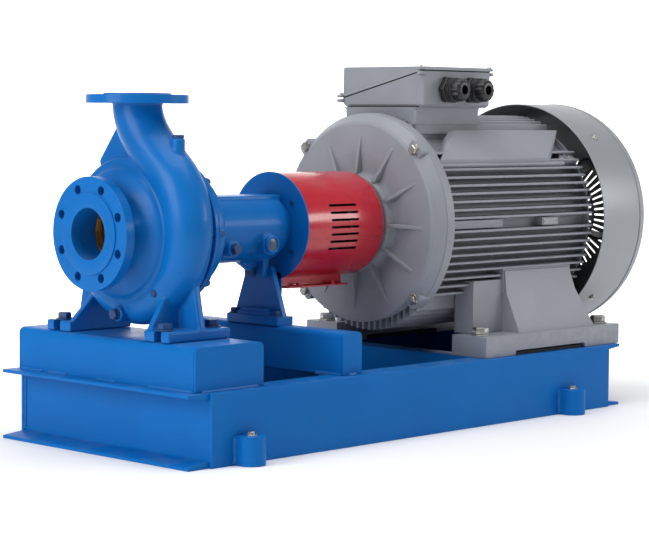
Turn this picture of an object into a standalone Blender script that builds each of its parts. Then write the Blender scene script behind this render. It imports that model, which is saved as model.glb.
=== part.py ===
"""End-suction water pump and its electric motor on one welded channel base.

Everything is drawn in millimetres, with x measured back from the pump's suction
face, y across the set and z up from the floor. finish() turns a drawn shape into
a node in metres, with the origin under the middle of the whole set.
"""
import bpy
import bmesh
from math import cos, pi, radians, sin, tau
from mathutils import Matrix, Vector

# ---- driving dimensions, in millimetres ------------------------------------
LENGTH = 1475.0            # suction face to the back of the fan cowl
BASE_HEIGHT = 140.0        # channel section of the base
BASE_HALF_WIDTH = 284.5
RAIL_START, RAIL_END = 61.0, 1290.0
PEDESTAL_TOP = BASE_HEIGHT + 85.0
TAPPED_END = PEDESTAL_TOP - 14.0   # the casing's foot bolts end in tapped holes
AXIS_Z = PEDESTAL_TOP + 200.0
GAP = 0.3                  # between pieces that rest on each other

ANCHOR_X, ANCHOR_Y = (147.0, 1135.0), 300.0
ANCHOR_RADIUS, ANCHOR_TOP = 28.0, 56.0

FLANGE_THICK = 10.0        # channel flanges
WEB_THICK = 7.0
CHANNEL_DEPTH = 60.0

SUCTION_BORE, SUCTION_OD, SUCTION_PCD = 50.0, 110.0, 90.0       # radii, 100 mm line
DISCHARGE_BORE, DISCHARGE_OD, DISCHARGE_PCD = 40.0, 100.0, 80.0  # radii, 80 mm line
FLANGE_HOLE = 9.0
DISCHARGE_X = 125.0
DISCHARGE_TOP = AXIS_Z + 270.0
WALL = 8.0
SCROLL_START, SCROLL_END = radians(30.0), radians(312.0)
SCROLL_SIDES = 12

COVER_FACE = 178.0         # back face of the casing
COVER_BACK = 196.0
SPIGOT_RADIUS = 131.5
COVER_RADIUS = 137.0
BRACKET_FACE = 208.0
BRACKET_END = 505.0
BRACKET_RADIUS = 72.0
BEARING_OD, BEARING_BORE, BEARING_WIDE = 45.0, 20.0, 22.0
PUMP_BEARINGS = (286.0, 482.5)     # front face of each bearing
SHAFT_END = 590.0
FOOT_BOLT_X, FOOT_BOLT_Y, FOOT_HALF = 447.0, 62.0, 76.0     # pump support foot

GUARD_FRONT, GUARD_BACK = 490.0, 731.0
GUARD_RADIUS = 111.0

SHIELD_FACE, SHIELD_BACK = 752.0, 779.0
SHIELD_RADIUS, RING_RADIUS = 219.0, 236.0
FRAME_END = 1288.0
STATOR_RADIUS = 186.0
COWL_START, COWL_SEAM = 1296.0, 1433.0
COWL_RADIUS = 260.0
MOTOR_BOLT_X = (900.0, 1319.0)
MOTOR_BOLT_Y = 228.5
MOTOR_FOOT_X = (872.0, 1348.0)
MOTOR_BEARING_OD, MOTOR_BEARING_BORE, MOTOR_BEARING_WIDE = 90.0, 42.5, 38.0
MOTOR_BEARINGS = (772.0, 1262.0)
SEAT_TOP = AXIS_Z + 234.0   # machined seat of the terminal box on the frame
BOX_TOP = 762.0            # terminal box lid

BLUE = ("blue_paint", (0.012, 0.160, 0.540), 0.35, 0.0)
DARK_BLUE = ("blue_fastener", (0.010, 0.045, 0.160), 0.40, 0.2)
RED = ("red_guard", (0.520, 0.012, 0.028), 0.28, 0.0)
GREY = ("motor_grey", (0.215, 0.225, 0.250), 0.48, 0.1)
LIGHT_GREY = ("cowl_grey", (0.330, 0.340, 0.370), 0.42, 0.1)
BLACK = ("black_plastic", (0.012, 0.012, 0.014), 0.45, 0.0)
STEEL = ("machined_steel", (0.480, 0.480, 0.490), 0.30, 1.0)
ZINC = ("zinc_fastener", (0.600, 0.600, 0.580), 0.35, 1.0)
IRON = ("bare_iron", (0.160, 0.160, 0.165), 0.60, 0.6)
BRONZE = ("bronze", (0.520, 0.330, 0.130), 0.35, 1.0)
COPPER = ("wound_copper", (0.540, 0.230, 0.090), 0.45, 1.0)
RUBBER = ("rubber", (0.030, 0.030, 0.032), 0.75, 0.0)
GLASS = ("sight_glass", (0.450, 0.330, 0.090), 0.10, 0.0)
CERAMIC = ("seal_ceramic", (0.700, 0.680, 0.620), 0.25, 0.0)


# ---- drawing tools ----------------------------------------------------------
def shape_from(bm):
    """Close a bmesh up as an object, with its faces pointing out."""
    bmesh.ops.remove_doubles(bm, verts=bm.verts, dist=0.001)
    bmesh.ops.recalc_face_normals(bm, faces=bm.faces)
    bmesh.ops.triangulate(bm, faces=[face for face in bm.faces if len(face.verts) == 4])
    mesh = bpy.data.meshes.new("shape")
    bm.to_mesh(mesh)
    bm.free()
    shape = bpy.data.objects.new("shape", mesh)
    bpy.context.collection.objects.link(shape)
    return shape


def skin(rings, closed_along=False):
    """Skin rings of equally many points, and cap both ends unless they close up."""
    bm = bmesh.new()
    loops = [[bm.verts.new(point) for point in ring] for ring in rings]
    count = len(loops)
    for step in range(count if closed_along else count - 1):
        here, there = loops[step], loops[(step + 1) % count]
        for index in range(len(here)):
            following = (index + 1) % len(here)
            bm.faces.new((here[index], here[following], there[following], there[index]))
    if not closed_along:
        bm.faces.new(loops[0])
        bm.faces.new(list(reversed(loops[-1])))
    return shape_from(bm)


def box(low, high):
    """A plain block between two corners."""
    corners = [(low[0], low[1]), (high[0], low[1]), (high[0], high[1]), (low[0], high[1])]
    return skin([[(x, y, z) for x, y in corners] for z in (low[2], high[2])])


def prism(outline, axis, low, high):
    """Extrude an outline along x, y or z; its points are the other two, in order."""
    def place(first, second, along):
        return {"x": (along, first, second), "y": (first, along, second),
                "z": (first, second, along)}[axis]
    return skin([[place(a, b, along) for a, b in outline] for along in (low, high)])


def turned(profile, sides, ring=False, y=0.0, z=AXIS_Z):
    """Turn a profile of (x, radius) points round the shaft's direction.

    A solid's profile starts and ends on the axis. A ring's profile goes round
    its section and closes on itself.
    """
    bm = bmesh.new()
    loops = []
    for x, radius in profile:
        if radius == 0.0:
            loops.append([bm.verts.new((x, y, z))])
            continue
        loops.append([bm.verts.new((x, y + radius * cos(tau * k / sides),
                                    z + radius * sin(tau * k / sides))) for k in range(sides)])
    pairs = list(zip(loops, loops[1:]))
    if ring:
        pairs.append((loops[-1], loops[0]))
    for here, there in pairs:
        for k in range(sides):
            after = (k + 1) % sides
            corners = [here[k % len(here)], here[after % len(here)],
                       there[after % len(there)], there[k % len(there)]]
            corners = [v for i, v in enumerate(corners) if v not in corners[:i]]
            if len(corners) > 2:
                bm.faces.new(corners)
    return shape_from(bm)


def rod(base, direction, radius, length, sides=12, turn=0.0):
    """A round or polygonal bar from a base point along a direction."""
    direction = Vector(direction).normalized()
    side = direction.orthogonal().normalized()
    up = direction.cross(side)
    base = Vector(base)
    rings = []
    for along in (0.0, length):
        rings.append([base + direction * along + side * (radius * cos(tau * k / sides + turn))
                      + up * (radius * sin(tau * k / sides + turn)) for k in range(sides)])
    return skin(rings)


def combine(operation, body, tools):
    """Join, cut or intersect shapes, and drop the tools."""
    for tool in tools:
        step = body.modifiers.new("boolean", "BOOLEAN")
        step.operation = operation
        step.solver = "EXACT"
        step.object = tool
    bpy.context.view_layer.update()
    graph = bpy.context.evaluated_depsgraph_get()
    result = bpy.data.meshes.new_from_object(body.evaluated_get(graph))
    old = body.data
    body.modifiers.clear()
    body.data = result
    bpy.data.meshes.remove(old)
    for tool in tools:
        drop(tool)
    return body


def join(body, *tools):
    return combine("UNION", body, tools)


def cut(body, *tools):
    return combine("DIFFERENCE", body, tools)


def drop(shape):
    mesh = shape.data
    bpy.data.objects.remove(shape)
    bpy.data.meshes.remove(mesh)


def turn_about_axis(shape, angle):
    """Turn a shape round the shaft axis."""
    centre = Vector((0.0, 0.0, AXIS_Z))
    shape.data.transform(Matrix.Translation(centre) @ Matrix.Rotation(angle, 4, "X")
                         @ Matrix.Translation(-centre))
    return shape


def round_edges(shape, radius, segments, wanted):
    """Bevel the edges whose two ends wanted() accepts."""
    bm = bmesh.new()
    bm.from_mesh(shape.data)
    edges = [edge for edge in bm.edges if wanted(edge.verts[0].co, edge.verts[1].co)]
    bmesh.ops.bevel(bm, geom=edges, offset=radius, segments=segments, profile=0.5,
                    affect="EDGES")
    bm.to_mesh(shape.data)
    bm.free()
    return shape


def material(spec):
    """The Principled material of a finish, made on its first use."""
    name, colour, roughness, metallic = spec
    made = bpy.data.materials.get(name)
    if made:
        return made
    made = bpy.data.materials.new(name)
    made.use_nodes = True
    shader = made.node_tree.nodes["Principled BSDF"]
    shader.inputs["Base Color"].default_value = (*colour, 1.0)
    shader.inputs["Roughness"].default_value = roughness
    shader.inputs["Metallic"].default_value = metallic
    return made


def finish(name, shape, finish_spec, carrier=None):
    """Name a shape as a node, in metres, and hang it on its carrier if it turns."""
    shape.name = name
    shape.data.name = name
    drawn = Matrix.Scale(0.001, 4) @ Matrix.Translation((-LENGTH / 2, 0.0, 0.0))
    shape.data.transform(drawn)
    if carrier:
        shape.data.transform(Matrix.Translation(-carrier.location))
        shape.parent = carrier
    shape.data.materials.clear()
    shape.data.materials.append(material(finish_spec))
    shape.data.shade_smooth()
    shape.data.set_sharp_from_angle(angle=radians(32.0))
    return shape


def clear(radius, sides):
    """Corner radius of a many-sided bore that clears a round piece of this radius."""
    return (radius + GAP) / cos(pi / sides)


def around(count, start=0.0):
    """Equally spaced angles."""
    return [start + tau * k / count for k in range(count)]


def on_circle(x, radius, angle):
    """A point at a radius from the shaft axis; the angle starts at the top, towards +y."""
    return Vector((x, radius * sin(angle), AXIS_Z + radius * cos(angle)))


def hexagon(across_flats):
    """Corner radius of a hexagon from its width across the flats."""
    return across_flats / (2.0 * cos(pi / 6.0))


def hex_bolt(seat, direction, across_flats, head, shank_radius, shank_length, washer=0.0):
    """A bolt or nut whose head stands on its seat and whose shank goes back through it."""
    direction = Vector(direction).normalized()
    seat = Vector(seat) + direction * GAP
    washer_high = 3.0 if washer else 0.0
    body = rod(seat + direction * washer_high, direction, hexagon(across_flats), head, 6)
    pieces = [rod(seat - direction * shank_length, direction, shank_radius,
                  shank_length + washer_high + head / 2, 6)]
    if washer:
        pieces.append(rod(seat, direction, washer, washer_high + 1.0, 10))
    return join(body, *pieces)


# ---- base ------------------------------------------------------------------
def side_rail(side):
    """A channel with its web outside, its flanges cut back at both ends."""
    outer, inner = side * BASE_HALF_WIDTH, side * (BASE_HALF_WIDTH - WEB_THICK)
    tip = side * (BASE_HALF_WIDTH - CHANNEL_DEPTH)
    low, high = FLANGE_THICK, BASE_HEIGHT - FLANGE_THICK
    section = [(outer, 0), (outer, BASE_HEIGHT), (tip, BASE_HEIGHT), (tip, high), (inner, high),
               (inner, low), (tip, low), (tip, 0)]
    rail = prism(section, "x", RAIL_START, RAIL_END)
    copes = []
    for start, end in ((RAIL_START - 5, RAIL_START + 13), (RAIL_END - 13, RAIL_END + 5)):
        for z in (-5.0, high - 1.0):
            far_edge = side * (BASE_HALF_WIDTH - WEB_THICK)
            low_y, high_y = sorted((far_edge, tip - side * 5))
            copes.append(box((start, low_y, z), (end, high_y, z + 16.0)))
    return cut(rail, *copes)


def end_channel(tip_x, web_x, back_x):
    """A channel across the set with its flanges pointing away from it."""
    half = BASE_HALF_WIDTH - WEB_THICK - GAP
    low, high = FLANGE_THICK, BASE_HEIGHT - FLANGE_THICK
    section = [(back_x, 0), (back_x, BASE_HEIGHT), (tip_x, BASE_HEIGHT), (tip_x, high),
               (web_x, high), (web_x, low), (tip_x, low), (tip_x, 0)]
    return prism(section, "y", -half, half)


def anchor_sleeves(side):
    """Round-nosed blocks welded to a rail's web, drilled for the floor anchors."""
    sleeves, holes = [], []
    for x in ANCHOR_X:
        arc = [(x + ANCHOR_RADIUS * cos(pi * k / 8),
                side * (ANCHOR_Y + ANCHOR_RADIUS * sin(pi * k / 8))) for k in range(9)]
        inner = side * (BASE_HALF_WIDTH - 2.0)
        outline = arc + [(x - ANCHOR_RADIUS, inner), (x + ANCHOR_RADIUS, inner)]
        sleeves.append(prism(outline, "z", 0.0, ANCHOR_TOP))
        holes.append(rod((x, side * ANCHOR_Y, -5), (0, 0, 1), 10, ANCHOR_TOP + 10, 12))
    return sleeves, holes


def make_base():
    for name, side in (("near", -1), ("far", 1)):
        sleeves, holes = anchor_sleeves(side)
        holes.append(rod((MOTOR_BOLT_X[0], side * MOTOR_BOLT_Y, 100), (0, 0, 1), 11, 60, 10))
        rail = join(side_rail(side), *sleeves)
        finish("base_side_rail_" + name, cut(rail, *holes), BLUE)
    finish("base_end_channel_front", end_channel(8.0, 66.0, 73.0), BLUE)
    rear = end_channel(RAIL_END + 49.0, RAIL_END - 5.0, RAIL_END - 12.0)
    rear_holes = [rod((MOTOR_BOLT_X[1], side * MOTOR_BOLT_Y, 100), (0, 0, 1), 11, 60, 10)
                  for side in (-1, 1)]
    finish("base_end_channel_rear", cut(rear, *rear_holes), BLUE)
    tip = BASE_HALF_WIDTH - CHANNEL_DEPTH - GAP
    section = [(868, 0), (868, BASE_HEIGHT), (926, BASE_HEIGHT), (926, 130), (875, 130),
               (875, 10), (926, 10), (926, 0)]
    notches = [rod((MOTOR_BOLT_X[0], side * MOTOR_BOLT_Y, 60), (0, 0, 1), 11.5, 100, 10)
               for side in (-1, 1)]
    finish("base_cross_member", cut(prism(section, "y", -tip, tip), *notches), BLUE)


def pedestal(start, end, half_width, corner, top_plate):
    """A folded plate box, open below, with its two long top edges rounded."""
    outer = box((start, -half_width, BASE_HEIGHT + GAP), (end, half_width, PEDESTAL_TOP))
    top = PEDESTAL_TOP - 0.01
    outer = round_edges(outer, corner, 3, lambda a, b: a.z > top and b.z > top
                        and abs(a.x - b.x) < 1.0)
    hollow = box((start + 8, -half_width + 8, BASE_HEIGHT - 20),
                 (end - 8, half_width - 8, PEDESTAL_TOP - top_plate))
    return cut(outer, hollow)


def make_pedestals():
    pump = pedestal(39.0, 215.0, 263.0, 13.0, 18.0)
    holes = [rod((x, side * 150.0, TAPPED_END), (0, 0, 1), 9.5, 40, 10)
             for x in (65.0, 185.0) for side in (-1, 1)]
    finish("pump_pedestal", cut(pump, *holes), BLUE)
    bracket = pedestal(435.0, 489.0, 263.0, 12.0, 10.0)
    holes = [rod((FOOT_BOLT_X, side * FOOT_BOLT_Y, 190), (0, 0, 1), 7, 60, 10)
             for side in (-1, 1)]
    finish("bracket_pedestal", cut(bracket, *holes), BLUE)


# ---- pump casing -----------------------------------------------------------
def scroll_rings(shrink, start):
    """Sections of the scroll and its neck, up to the discharge flange."""
    rings = []

    def ring(centre, outward, half_wide, half_tall):
        across = Vector((1.0, 0.0, 0.0))
        rings.append([centre + across * (half_wide * cos(angle))
                      + outward * (half_tall * sin(angle)) for angle in around(SCROLL_SIDES)])

    steps = 13
    for step in range(steps):
        angle = start + (SCROLL_END - start) * step / (steps - 1)
        grown = (angle - SCROLL_START) / (SCROLL_END - SCROLL_START)
        outward = Vector((0.0, sin(angle), cos(angle)))
        centre = on_circle(DISCHARGE_X, 126.0 + 26.0 * grown, angle)
        ring(centre, outward, 36.0 + 12.0 * grown - shrink, 32.0 + 17.0 * grown - shrink)
    begin = on_circle(DISCHARGE_X, 152.0, SCROLL_END)
    leaving = Vector((0.0, cos(SCROLL_END), -sin(SCROLL_END)))
    points = [begin, begin + leaving * 45.0, Vector((DISCHARGE_X, 0.0, AXIS_Z + 185.0)),
              Vector((DISCHARGE_X, 0.0, AXIS_Z + 252.0))]
    for step in range(1, 6):
        t = step / 5
        weights = ((1 - t) ** 3, 3 * t * (1 - t) ** 2, 3 * t * t * (1 - t), t ** 3)
        slopes = (-(1 - t) ** 2, (1 - t) * (1 - 3 * t), t * (2 - 3 * t), t * t)
        centre = sum((p * w for p, w in zip(points, weights)), Vector())
        along = sum((p * s for p, s in zip(points, slopes)), Vector()).normalized()
        outward = Vector((0.0, -along.z, along.y))
        ring(centre, outward, 48.0 - shrink, 49.0 - shrink)
    if shrink:
        ring(Vector((DISCHARGE_X, 0.0, DISCHARGE_TOP + 10)), Vector((0.0, -1.0, 0.0)),
             DISCHARGE_BORE, DISCHARGE_BORE)
    return rings


def casing_leg(side):
    """One foot of the casing: a slotted pad, a cross plate and a rib inside it."""
    inner, outer = 110.0, 182.0
    floor = PEDESTAL_TOP + GAP
    pad_top = floor + 22.0
    low, high = sorted((side * inner, side * outer))
    pad = box((45, low, floor), (205, high, pad_top))
    plate = prism([(side * inner, pad_top - 4), (side * outer, pad_top - 4), (side * 165, 345),
                   (side * 118, 345)], "x", 126, 140)
    rib_outline = [(47, pad_top - 4), (200, pad_top - 4), (158, 315), (98, 315)]
    rib = prism(rib_outline, "y", *sorted((side * inner, side * (inner + 12))))
    leg = join(pad, plate, rib)
    bolt_y = side * 150.0
    slots = []
    for x, mouth in ((65.0, 40.0), (185.0, 210.0)):
        slots.append(rod((x, bolt_y, floor - 5), (0, 0, 1), 9.5, 40, 10))
        slots.append(box((min(x, mouth), bolt_y - 9.5, floor - 5),
                         (max(x, mouth), bolt_y + 9.5, pad_top + 5)))
    return cut(leg, *slots)


def make_casing():
    body = turned([(0, 0), (0, 79), (3, 79), (3, SUCTION_OD), (24, SUCTION_OD), (24, 66), (34, 67),
                   (48, 76), (60, 94), (68, 114), (76, 124), (80, 142), (92, 146), (97, 138),
                   (148, 138), (158, 150), (COVER_FACE, 150), (COVER_FACE, 0)], 30)
    scroll = skin(scroll_rings(0.0, SCROLL_START))
    flange_low = DISCHARGE_TOP - 20.0
    flange = rod((DISCHARGE_X, 0, flange_low), (0, 0, 1), DISCHARGE_OD, 17, 28)
    raised = rod((DISCHARGE_X, 0, flange_low + 10), (0, 0, 1), 66, 10, 24)
    web = prism([(0, AXIS_Z + 120), (0, AXIS_Z + 235), (47, AXIS_Z + 215), (108, AXIS_Z + 137),
                 (95, AXIS_Z + 95)], "x", DISCHARGE_X - 6, DISCHARGE_X + 6)
    gauge_boss = rod((DISCHARGE_X, -118, AXIS_Z + 110), (0, 0, 1), 13, 76, 12)
    drain_boss = rod((104, 0, AXIS_Z - 158), (-1, 0, 0), 15, 34, 12)
    body = join(body, scroll, flange, raised, web, gauge_boss, casing_leg(-1), casing_leg(1))
    body = join(body, drain_boss)
    ring_seat, spigot = clear(62, 24), clear(SPIGOT_RADIUS, 24)
    chamber = turned([(-5, 0), (-5, SUCTION_BORE), (60, SUCTION_BORE), (66, ring_seat),
                      (88, ring_seat), (90, 129), (165, 129), (165, spigot), (185, spigot),
                      (185, 0)], 24)
    waterway = skin(scroll_rings(WALL, SCROLL_START + radians(14)))
    body = cut(body, join(chamber, waterway))
    holes = []
    for angle in around(8, radians(22.5)):
        holes.append(rod(on_circle(-5, SUCTION_PCD, angle), (1, 0, 0), FLANGE_HOLE, 40, 8))
        x = DISCHARGE_X + DISCHARGE_PCD * cos(angle)
        y = DISCHARGE_PCD * sin(angle)
        holes.append(rod((x, y, flange_low - 3), (0, 0, 1), FLANGE_HOLE, 40, 8))
    holes.append(rod((50, 0, AXIS_Z - 158), (1, 0, 0), 8, 60, 10))
    holes.append(rod((DISCHARGE_X, -118, AXIS_Z + 150), (0, 0, 1), 7, 50, 10))
    finish("volute_casing", cut(body, *holes), BLUE)


def make_casing_fittings():
    plug = join(rod((69.7, 0, AXIS_Z - 158), (-1, 0, 0), hexagon(19), 8, 6),
                rod((65, 0, AXIS_Z - 158), (1, 0, 0), 7, 24, 8))
    finish("casing_drain_plug", plug, DARK_BLUE)
    for x, row in ((65.0, "front"), (185.0, "rear")):
        for side, place in ((-1, "near"), (1, "far")):
            seat = (x, side * 150.0, PEDESTAL_TOP + GAP + 22)
            bolt = hex_bolt(seat, (0, 0, 1), 24, 10, 8, seat[2] - TAPPED_END - 1, 16)
            finish(f"casing_foot_bolt_{row}_{place}", bolt, DARK_BLUE)
    wear_ring = turned([(66.5, 57), (66.5, 62), (86, 62), (86, 57)], 28, ring=True)
    finish("wear_ring", wear_ring, BRONZE)


def make_cover():
    """The plate that closes the casing and holds the shaft seal."""
    cover = turned([(166, 34), (166, SPIGOT_RADIUS), (COVER_FACE + GAP, SPIGOT_RADIUS),
                    (COVER_FACE + GAP, COVER_RADIUS), (COVER_BACK, COVER_RADIUS), (COVER_BACK, 110),
                    (BRACKET_FACE - GAP, 110), (BRACKET_FACE - GAP, 24), (198, 24),
                    (198, 34)], 28, ring=True)
    finish("casing_cover", cover, BLUE)


# ---- pump rotor and bearings -----------------------------------------------
def make_impeller(carrier):
    front = turned([(72, 46), (72, 56.4), (92, 56.4), (96, 68), (100, 124), (105, 124), (102, 66),
                    (96, 46)], 20, ring=True)
    bore = clear(15, 20)
    back = turned([(98, bore), (98, 24), (130, 34), (139, 60), (141, 124), (147, 124), (147, 40),
                   (152, 30), (152, bore)], 20, ring=True)
    blades = []
    for angle in around(6):
        outline, other = [], []
        for step in range(5):
            t = step / 4
            radius, sweep = 44 + 79 * t, angle - radians(95) * t
            outline.append((radius * sin(sweep), AXIS_Z + radius * cos(sweep)))
            radius += 5.0 * (1 - t)
            sweep += radians(4.5)
            other.append((radius * sin(sweep), AXIS_Z + min(radius, 123.5) * cos(sweep)))
        blades.append(prism(outline + other[::-1], "x", 101.5, 140))
    impeller = join(front, *blades)
    finish("impeller", join(impeller, back), BRONZE, carrier)
    nut = join(rod((85, 0, AXIS_Z), (1, 0, 0), hexagon(36), 12.7, 6),
               rod((78, 0, AXIS_Z), (1, 0, 0), 14, 10, 12))
    nut = cut(nut, rod((84, 0, AXIS_Z), (1, 0, 0), clear(10, 12), 20, 12))
    finish("impeller_nut", nut, STEEL, carrier)


def make_pump_shaft(carrier):
    fit = BEARING_BORE
    shaft = turned([(85, 0), (85, 10), (98, 10), (98, 15), (152.3, 15), (152.3, 17), (270, 17),
                    (270, fit), (308.3, fit), (308.3, 24), (482.2, 24), (482.2, fit), (512, fit),
                    (520, 16), (SHAFT_END, 16), (SHAFT_END, 0)], 16)
    finish("pump_shaft", shaft, STEEL, carrier)
    seal_bore = clear(17, 16)
    spinning = turned([(172, seal_bore), (172, 28), (189, 28), (189, seal_bore)], 16, ring=True)
    finish("seal_spinning_ring", spinning, STEEL, carrier)
    seat = turned([(189.3, 20), (189.3, 33.7), (197.7, 33.7), (197.7, 20)], 16, ring=True)
    finish("seal_fixed_seat", seat, CERAMIC)


def bearing(name, face, bore, outside, wide, balls, carrier):
    """A deep-groove bearing: a fixed outer ring, and an inner ring with its balls."""
    middle, track = (bore + outside) / 2, (outside - bore) * 0.24
    race = clear(middle + track, 20)
    outer = turned([(face, outside), (face, race), (face + wide, race), (face + wide, outside)],
                   20, ring=True)
    finish(name + "_outer_ring", outer, STEEL)
    bore = clear(bore, 16)
    inner = turned([(face, bore), (face, middle - track), (face + wide, middle - track),
                    (face + wide, bore)], 16, ring=True)
    rollers = []
    for angle in around(balls):
        reach = on_circle(face + wide / 2, middle - track - 1.0, angle)
        outward = Vector((0.0, sin(angle), cos(angle)))
        rollers.append(rod(reach, outward, wide * 0.28, 2 * track + 0.4, 6))
    finish(name + "_rolling_set", join(inner, *rollers), STEEL, carrier)


def make_bracket():
    """The bearing bracket between the pump cover and the coupling."""
    bore = clear(BEARING_OD, 24)
    hub_room, front = clear(110, 28), COVER_BACK + GAP
    body = turned([(BRACKET_FACE, 62), (BRACKET_FACE, hub_room), (front, hub_room), (front, 148),
                   (211, 148), (211, 126), (250, 121), (262, 76), (270, BRACKET_RADIUS),
                   (470, BRACKET_RADIUS), (474, 58), (BRACKET_END, 58), (BRACKET_END, bore),
                   (482, bore), (480, 40), (312, 50), (308.3, bore), (285.7, bore), (285.7, 26),
                   (272, 26), (262, 58), (250, 104), (218, 108), (216, 62)], 24, ring=True)
    top_pad = box((254, -42, AXIS_Z + 50), (476, 42, AXIS_Z + 65))
    glass_boss = rod((412, -52, AXIS_Z - 32), (0, -1, 0), 21, 30, 14)
    plug_boss = rod((314, -48, AXIS_Z - 38), (0, -1, 0), 16, 30, 12)
    lug = prism([(-34, AXIS_Z - 55), (34, AXIS_Z - 55), (26, AXIS_Z - 104), (-26, AXIS_Z - 104)],
                "x", 440, 456)
    fin = prism([(380, AXIS_Z - 60), (445, AXIS_Z - 60), (445, AXIS_Z - 102)], "y", -7, 7)
    body = join(body, top_pad, glass_boss, plug_boss, lug, fin)
    holes = [rod((435, 0, AXIS_Z - 90), (1, 0, 0), 7, 40, 8),
             rod((412, -90, AXIS_Z - 32), (0, 1, 0), 14, 42, 12),
             rod((314, -90, AXIS_Z - 38), (0, 1, 0), 8, 42, 8),
             rod((236, 0, AXIS_Z - 140), (0, 0, 1), 12, 60, 10)]
    finish("bearing_bracket", cut(body, *holes), BLUE)
    cover = turned([(BRACKET_END + GAP, 22), (BRACKET_END + GAP, 57), (513, 57), (515, 42), (522, 38),
                    (522, 22)], 20, ring=True)
    finish("bearing_cover", cover, BLUE)
    glass = join(rod((412, -86, AXIS_Z - 32), (0, 1, 0), 13.6, 12, 12),
                 rod((412, -82.4, AXIS_Z - 32), (0, -1, 0), 18, 5, 16))
    finish("oil_sight_glass", glass, GLASS)
    plug = join(rod((314, -78.4, AXIS_Z - 38), (0, -1, 0), hexagon(19), 7, 6),
                rod((314, -60, AXIS_Z - 38), (0, -1, 0), 7, 22, 8))
    finish("oil_drain_plug", plug, DARK_BLUE)


def make_support_foot():
    floor = PEDESTAL_TOP + GAP
    plate = box((435, -FOOT_HALF, floor), (483, FOOT_HALF, floor + 18))
    step = box((440, -46, floor + 13), (478, 46, floor + 30))
    web = prism([(-72, floor + 14), (72, floor + 14), (34, AXIS_Z - 84), (-34, AXIS_Z - 84)],
                "x", 456 + GAP, 468)
    foot = join(plate, step, web)
    holes = [rod((FOOT_BOLT_X, side * FOOT_BOLT_Y, floor - 5), (0, 0, 1), 7, 40, 10)
             for side in (-1, 1)]
    holes.append(rod((450, 0, AXIS_Z - 90), (1, 0, 0), 7, 30, 10))
    finish("support_foot", cut(foot, *holes), BLUE)


# ---- coupling and guard ----------------------------------------------------
def sector(start, end, inner, outer, low, high, steps=2):
    """A block between two angles and two radii, along the shaft."""
    angles = [start + (end - start) * k / steps for k in range(steps + 1)]
    outline = [(outer * sin(a), AXIS_Z + outer * cos(a)) for a in angles]
    outline += [(inner * sin(a), AXIS_Z + inner * cos(a)) for a in reversed(angles)]
    return prism(outline, "x", low, high)


def make_coupling(pump_rotor, motor_rotor):
    jaw = radians(21)
    bore = clear(16, 18)
    pump_hub = turned([(530, bore), (530, 40), (560, 44), (566, 62), (590, 62), (590, bore)],
                      18, ring=True)
    jaws = [sector(a - jaw, a + jaw, 35, 61.5, 586, 608, 1) for a in around(3)]
    finish("coupling_hub_pump", join(pump_hub, *jaws), IRON, pump_rotor)
    bore = clear(37.5, 18)
    motor_hub = turned([(610, bore), (610, 62), (634, 62), (640, 54), (672, 54), (672, bore)],
                       18, ring=True)
    jaws = [sector(a - jaw, a + jaw, 42, 61.5, 592, 613, 1) for a in around(3, radians(60))]
    finish("coupling_hub_motor", join(motor_hub, *jaws), IRON, motor_rotor)
    spider = turned([(592, 20), (592, 31), (608, 31), (608, 20)], 12, ring=True)
    legs = [sector(a - radians(8), a + radians(8), 28, 58, 592, 608, 1)
            for a in around(6, radians(30))]
    finish("coupling_spider", join(spider, *legs), RUBBER, motor_rotor)


def make_guard():
    plate = turned([(GUARD_FRONT - 3, 59.5), (GUARD_FRONT - 3, 112), (GUARD_FRONT, 112),
                    (GUARD_FRONT, 59.5)], 28, ring=True)
    ear = box((GUARD_FRONT - 3, -34, AXIS_Z - 142), (GUARD_FRONT, 34, AXIS_Z - 100))
    plate = join(plate, ear)
    finish("guard_end_plate", plate, BLUE)
    start = GUARD_FRONT + GAP
    shell = turned([(start, GUARD_RADIUS - 3), (start, GUARD_RADIUS), (712, GUARD_RADIUS),
                    (726, 106), (GUARD_BACK, 97), (GUARD_BACK, 80), (GUARD_BACK - 3, 80),
                    (GUARD_BACK - 4, 94), (723, 102), (710, GUARD_RADIUS - 3)], 28, ring=True)
    skirt_end = start + 180.0
    skirt = join(box((start, -30, AXIS_Z - 140), (skirt_end, -27, AXIS_Z - 100)),
                 box((start, -52, AXIS_Z - 140), (skirt_end, -27, AXIS_Z - 137)))
    other = join(box((start, 27, AXIS_Z - 140), (skirt_end, 30, AXIS_Z - 100)),
                 box((start, 27, AXIS_Z - 140), (skirt_end, 52, AXIS_Z - 137)))
    shell = join(shell, skirt, other)
    slots = []
    for row in range(7):
        z = AXIS_Z + 44.0 - 15.0 * row
        for side in (-1, 1):
            slots.append(box((558, min(side * 60, side * 125), z - 2.6),
                             (641, max(side * 60, side * 125), z + 2.6)))
    finish("coupling_guard", cut(shell, *slots), RED)


# ---- motor -----------------------------------------------------------------
def fin_outline():
    """Outline of the finned frame across the shaft: level fins at the sides, upright
    fins above and below, and a flat pad at each upper corner."""
    root, tip, pitch, half = 205.0, 232.0, 23.0, 3.5
    outline = []

    def fins(first, last, step, place):
        for level in range(first, last + step, step):
            for edge, reach in ((-half, root), (-half, tip), (half, tip), (half, root)):
                offset = level * pitch + edge * step
                outline.append(place(offset, (reach ** 2 - offset ** 2) ** 0.5))

    fins(-5, 5, 1, lambda offset, out: (out, offset))
    outline.extend([(192, 134), (128, 195)])
    fins(4, -4, -1, lambda offset, out: (offset, out))
    outline.extend([(-128, 195), (-192, 134)])
    fins(5, -5, -1, lambda offset, out: (-out, offset))
    outline.append((-145, -145))
    fins(-5, 5, 1, lambda offset, out: (offset, -out))
    outline.append((145, -145))
    return [(y, AXIS_Z + z) for y, z in outline]


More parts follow.
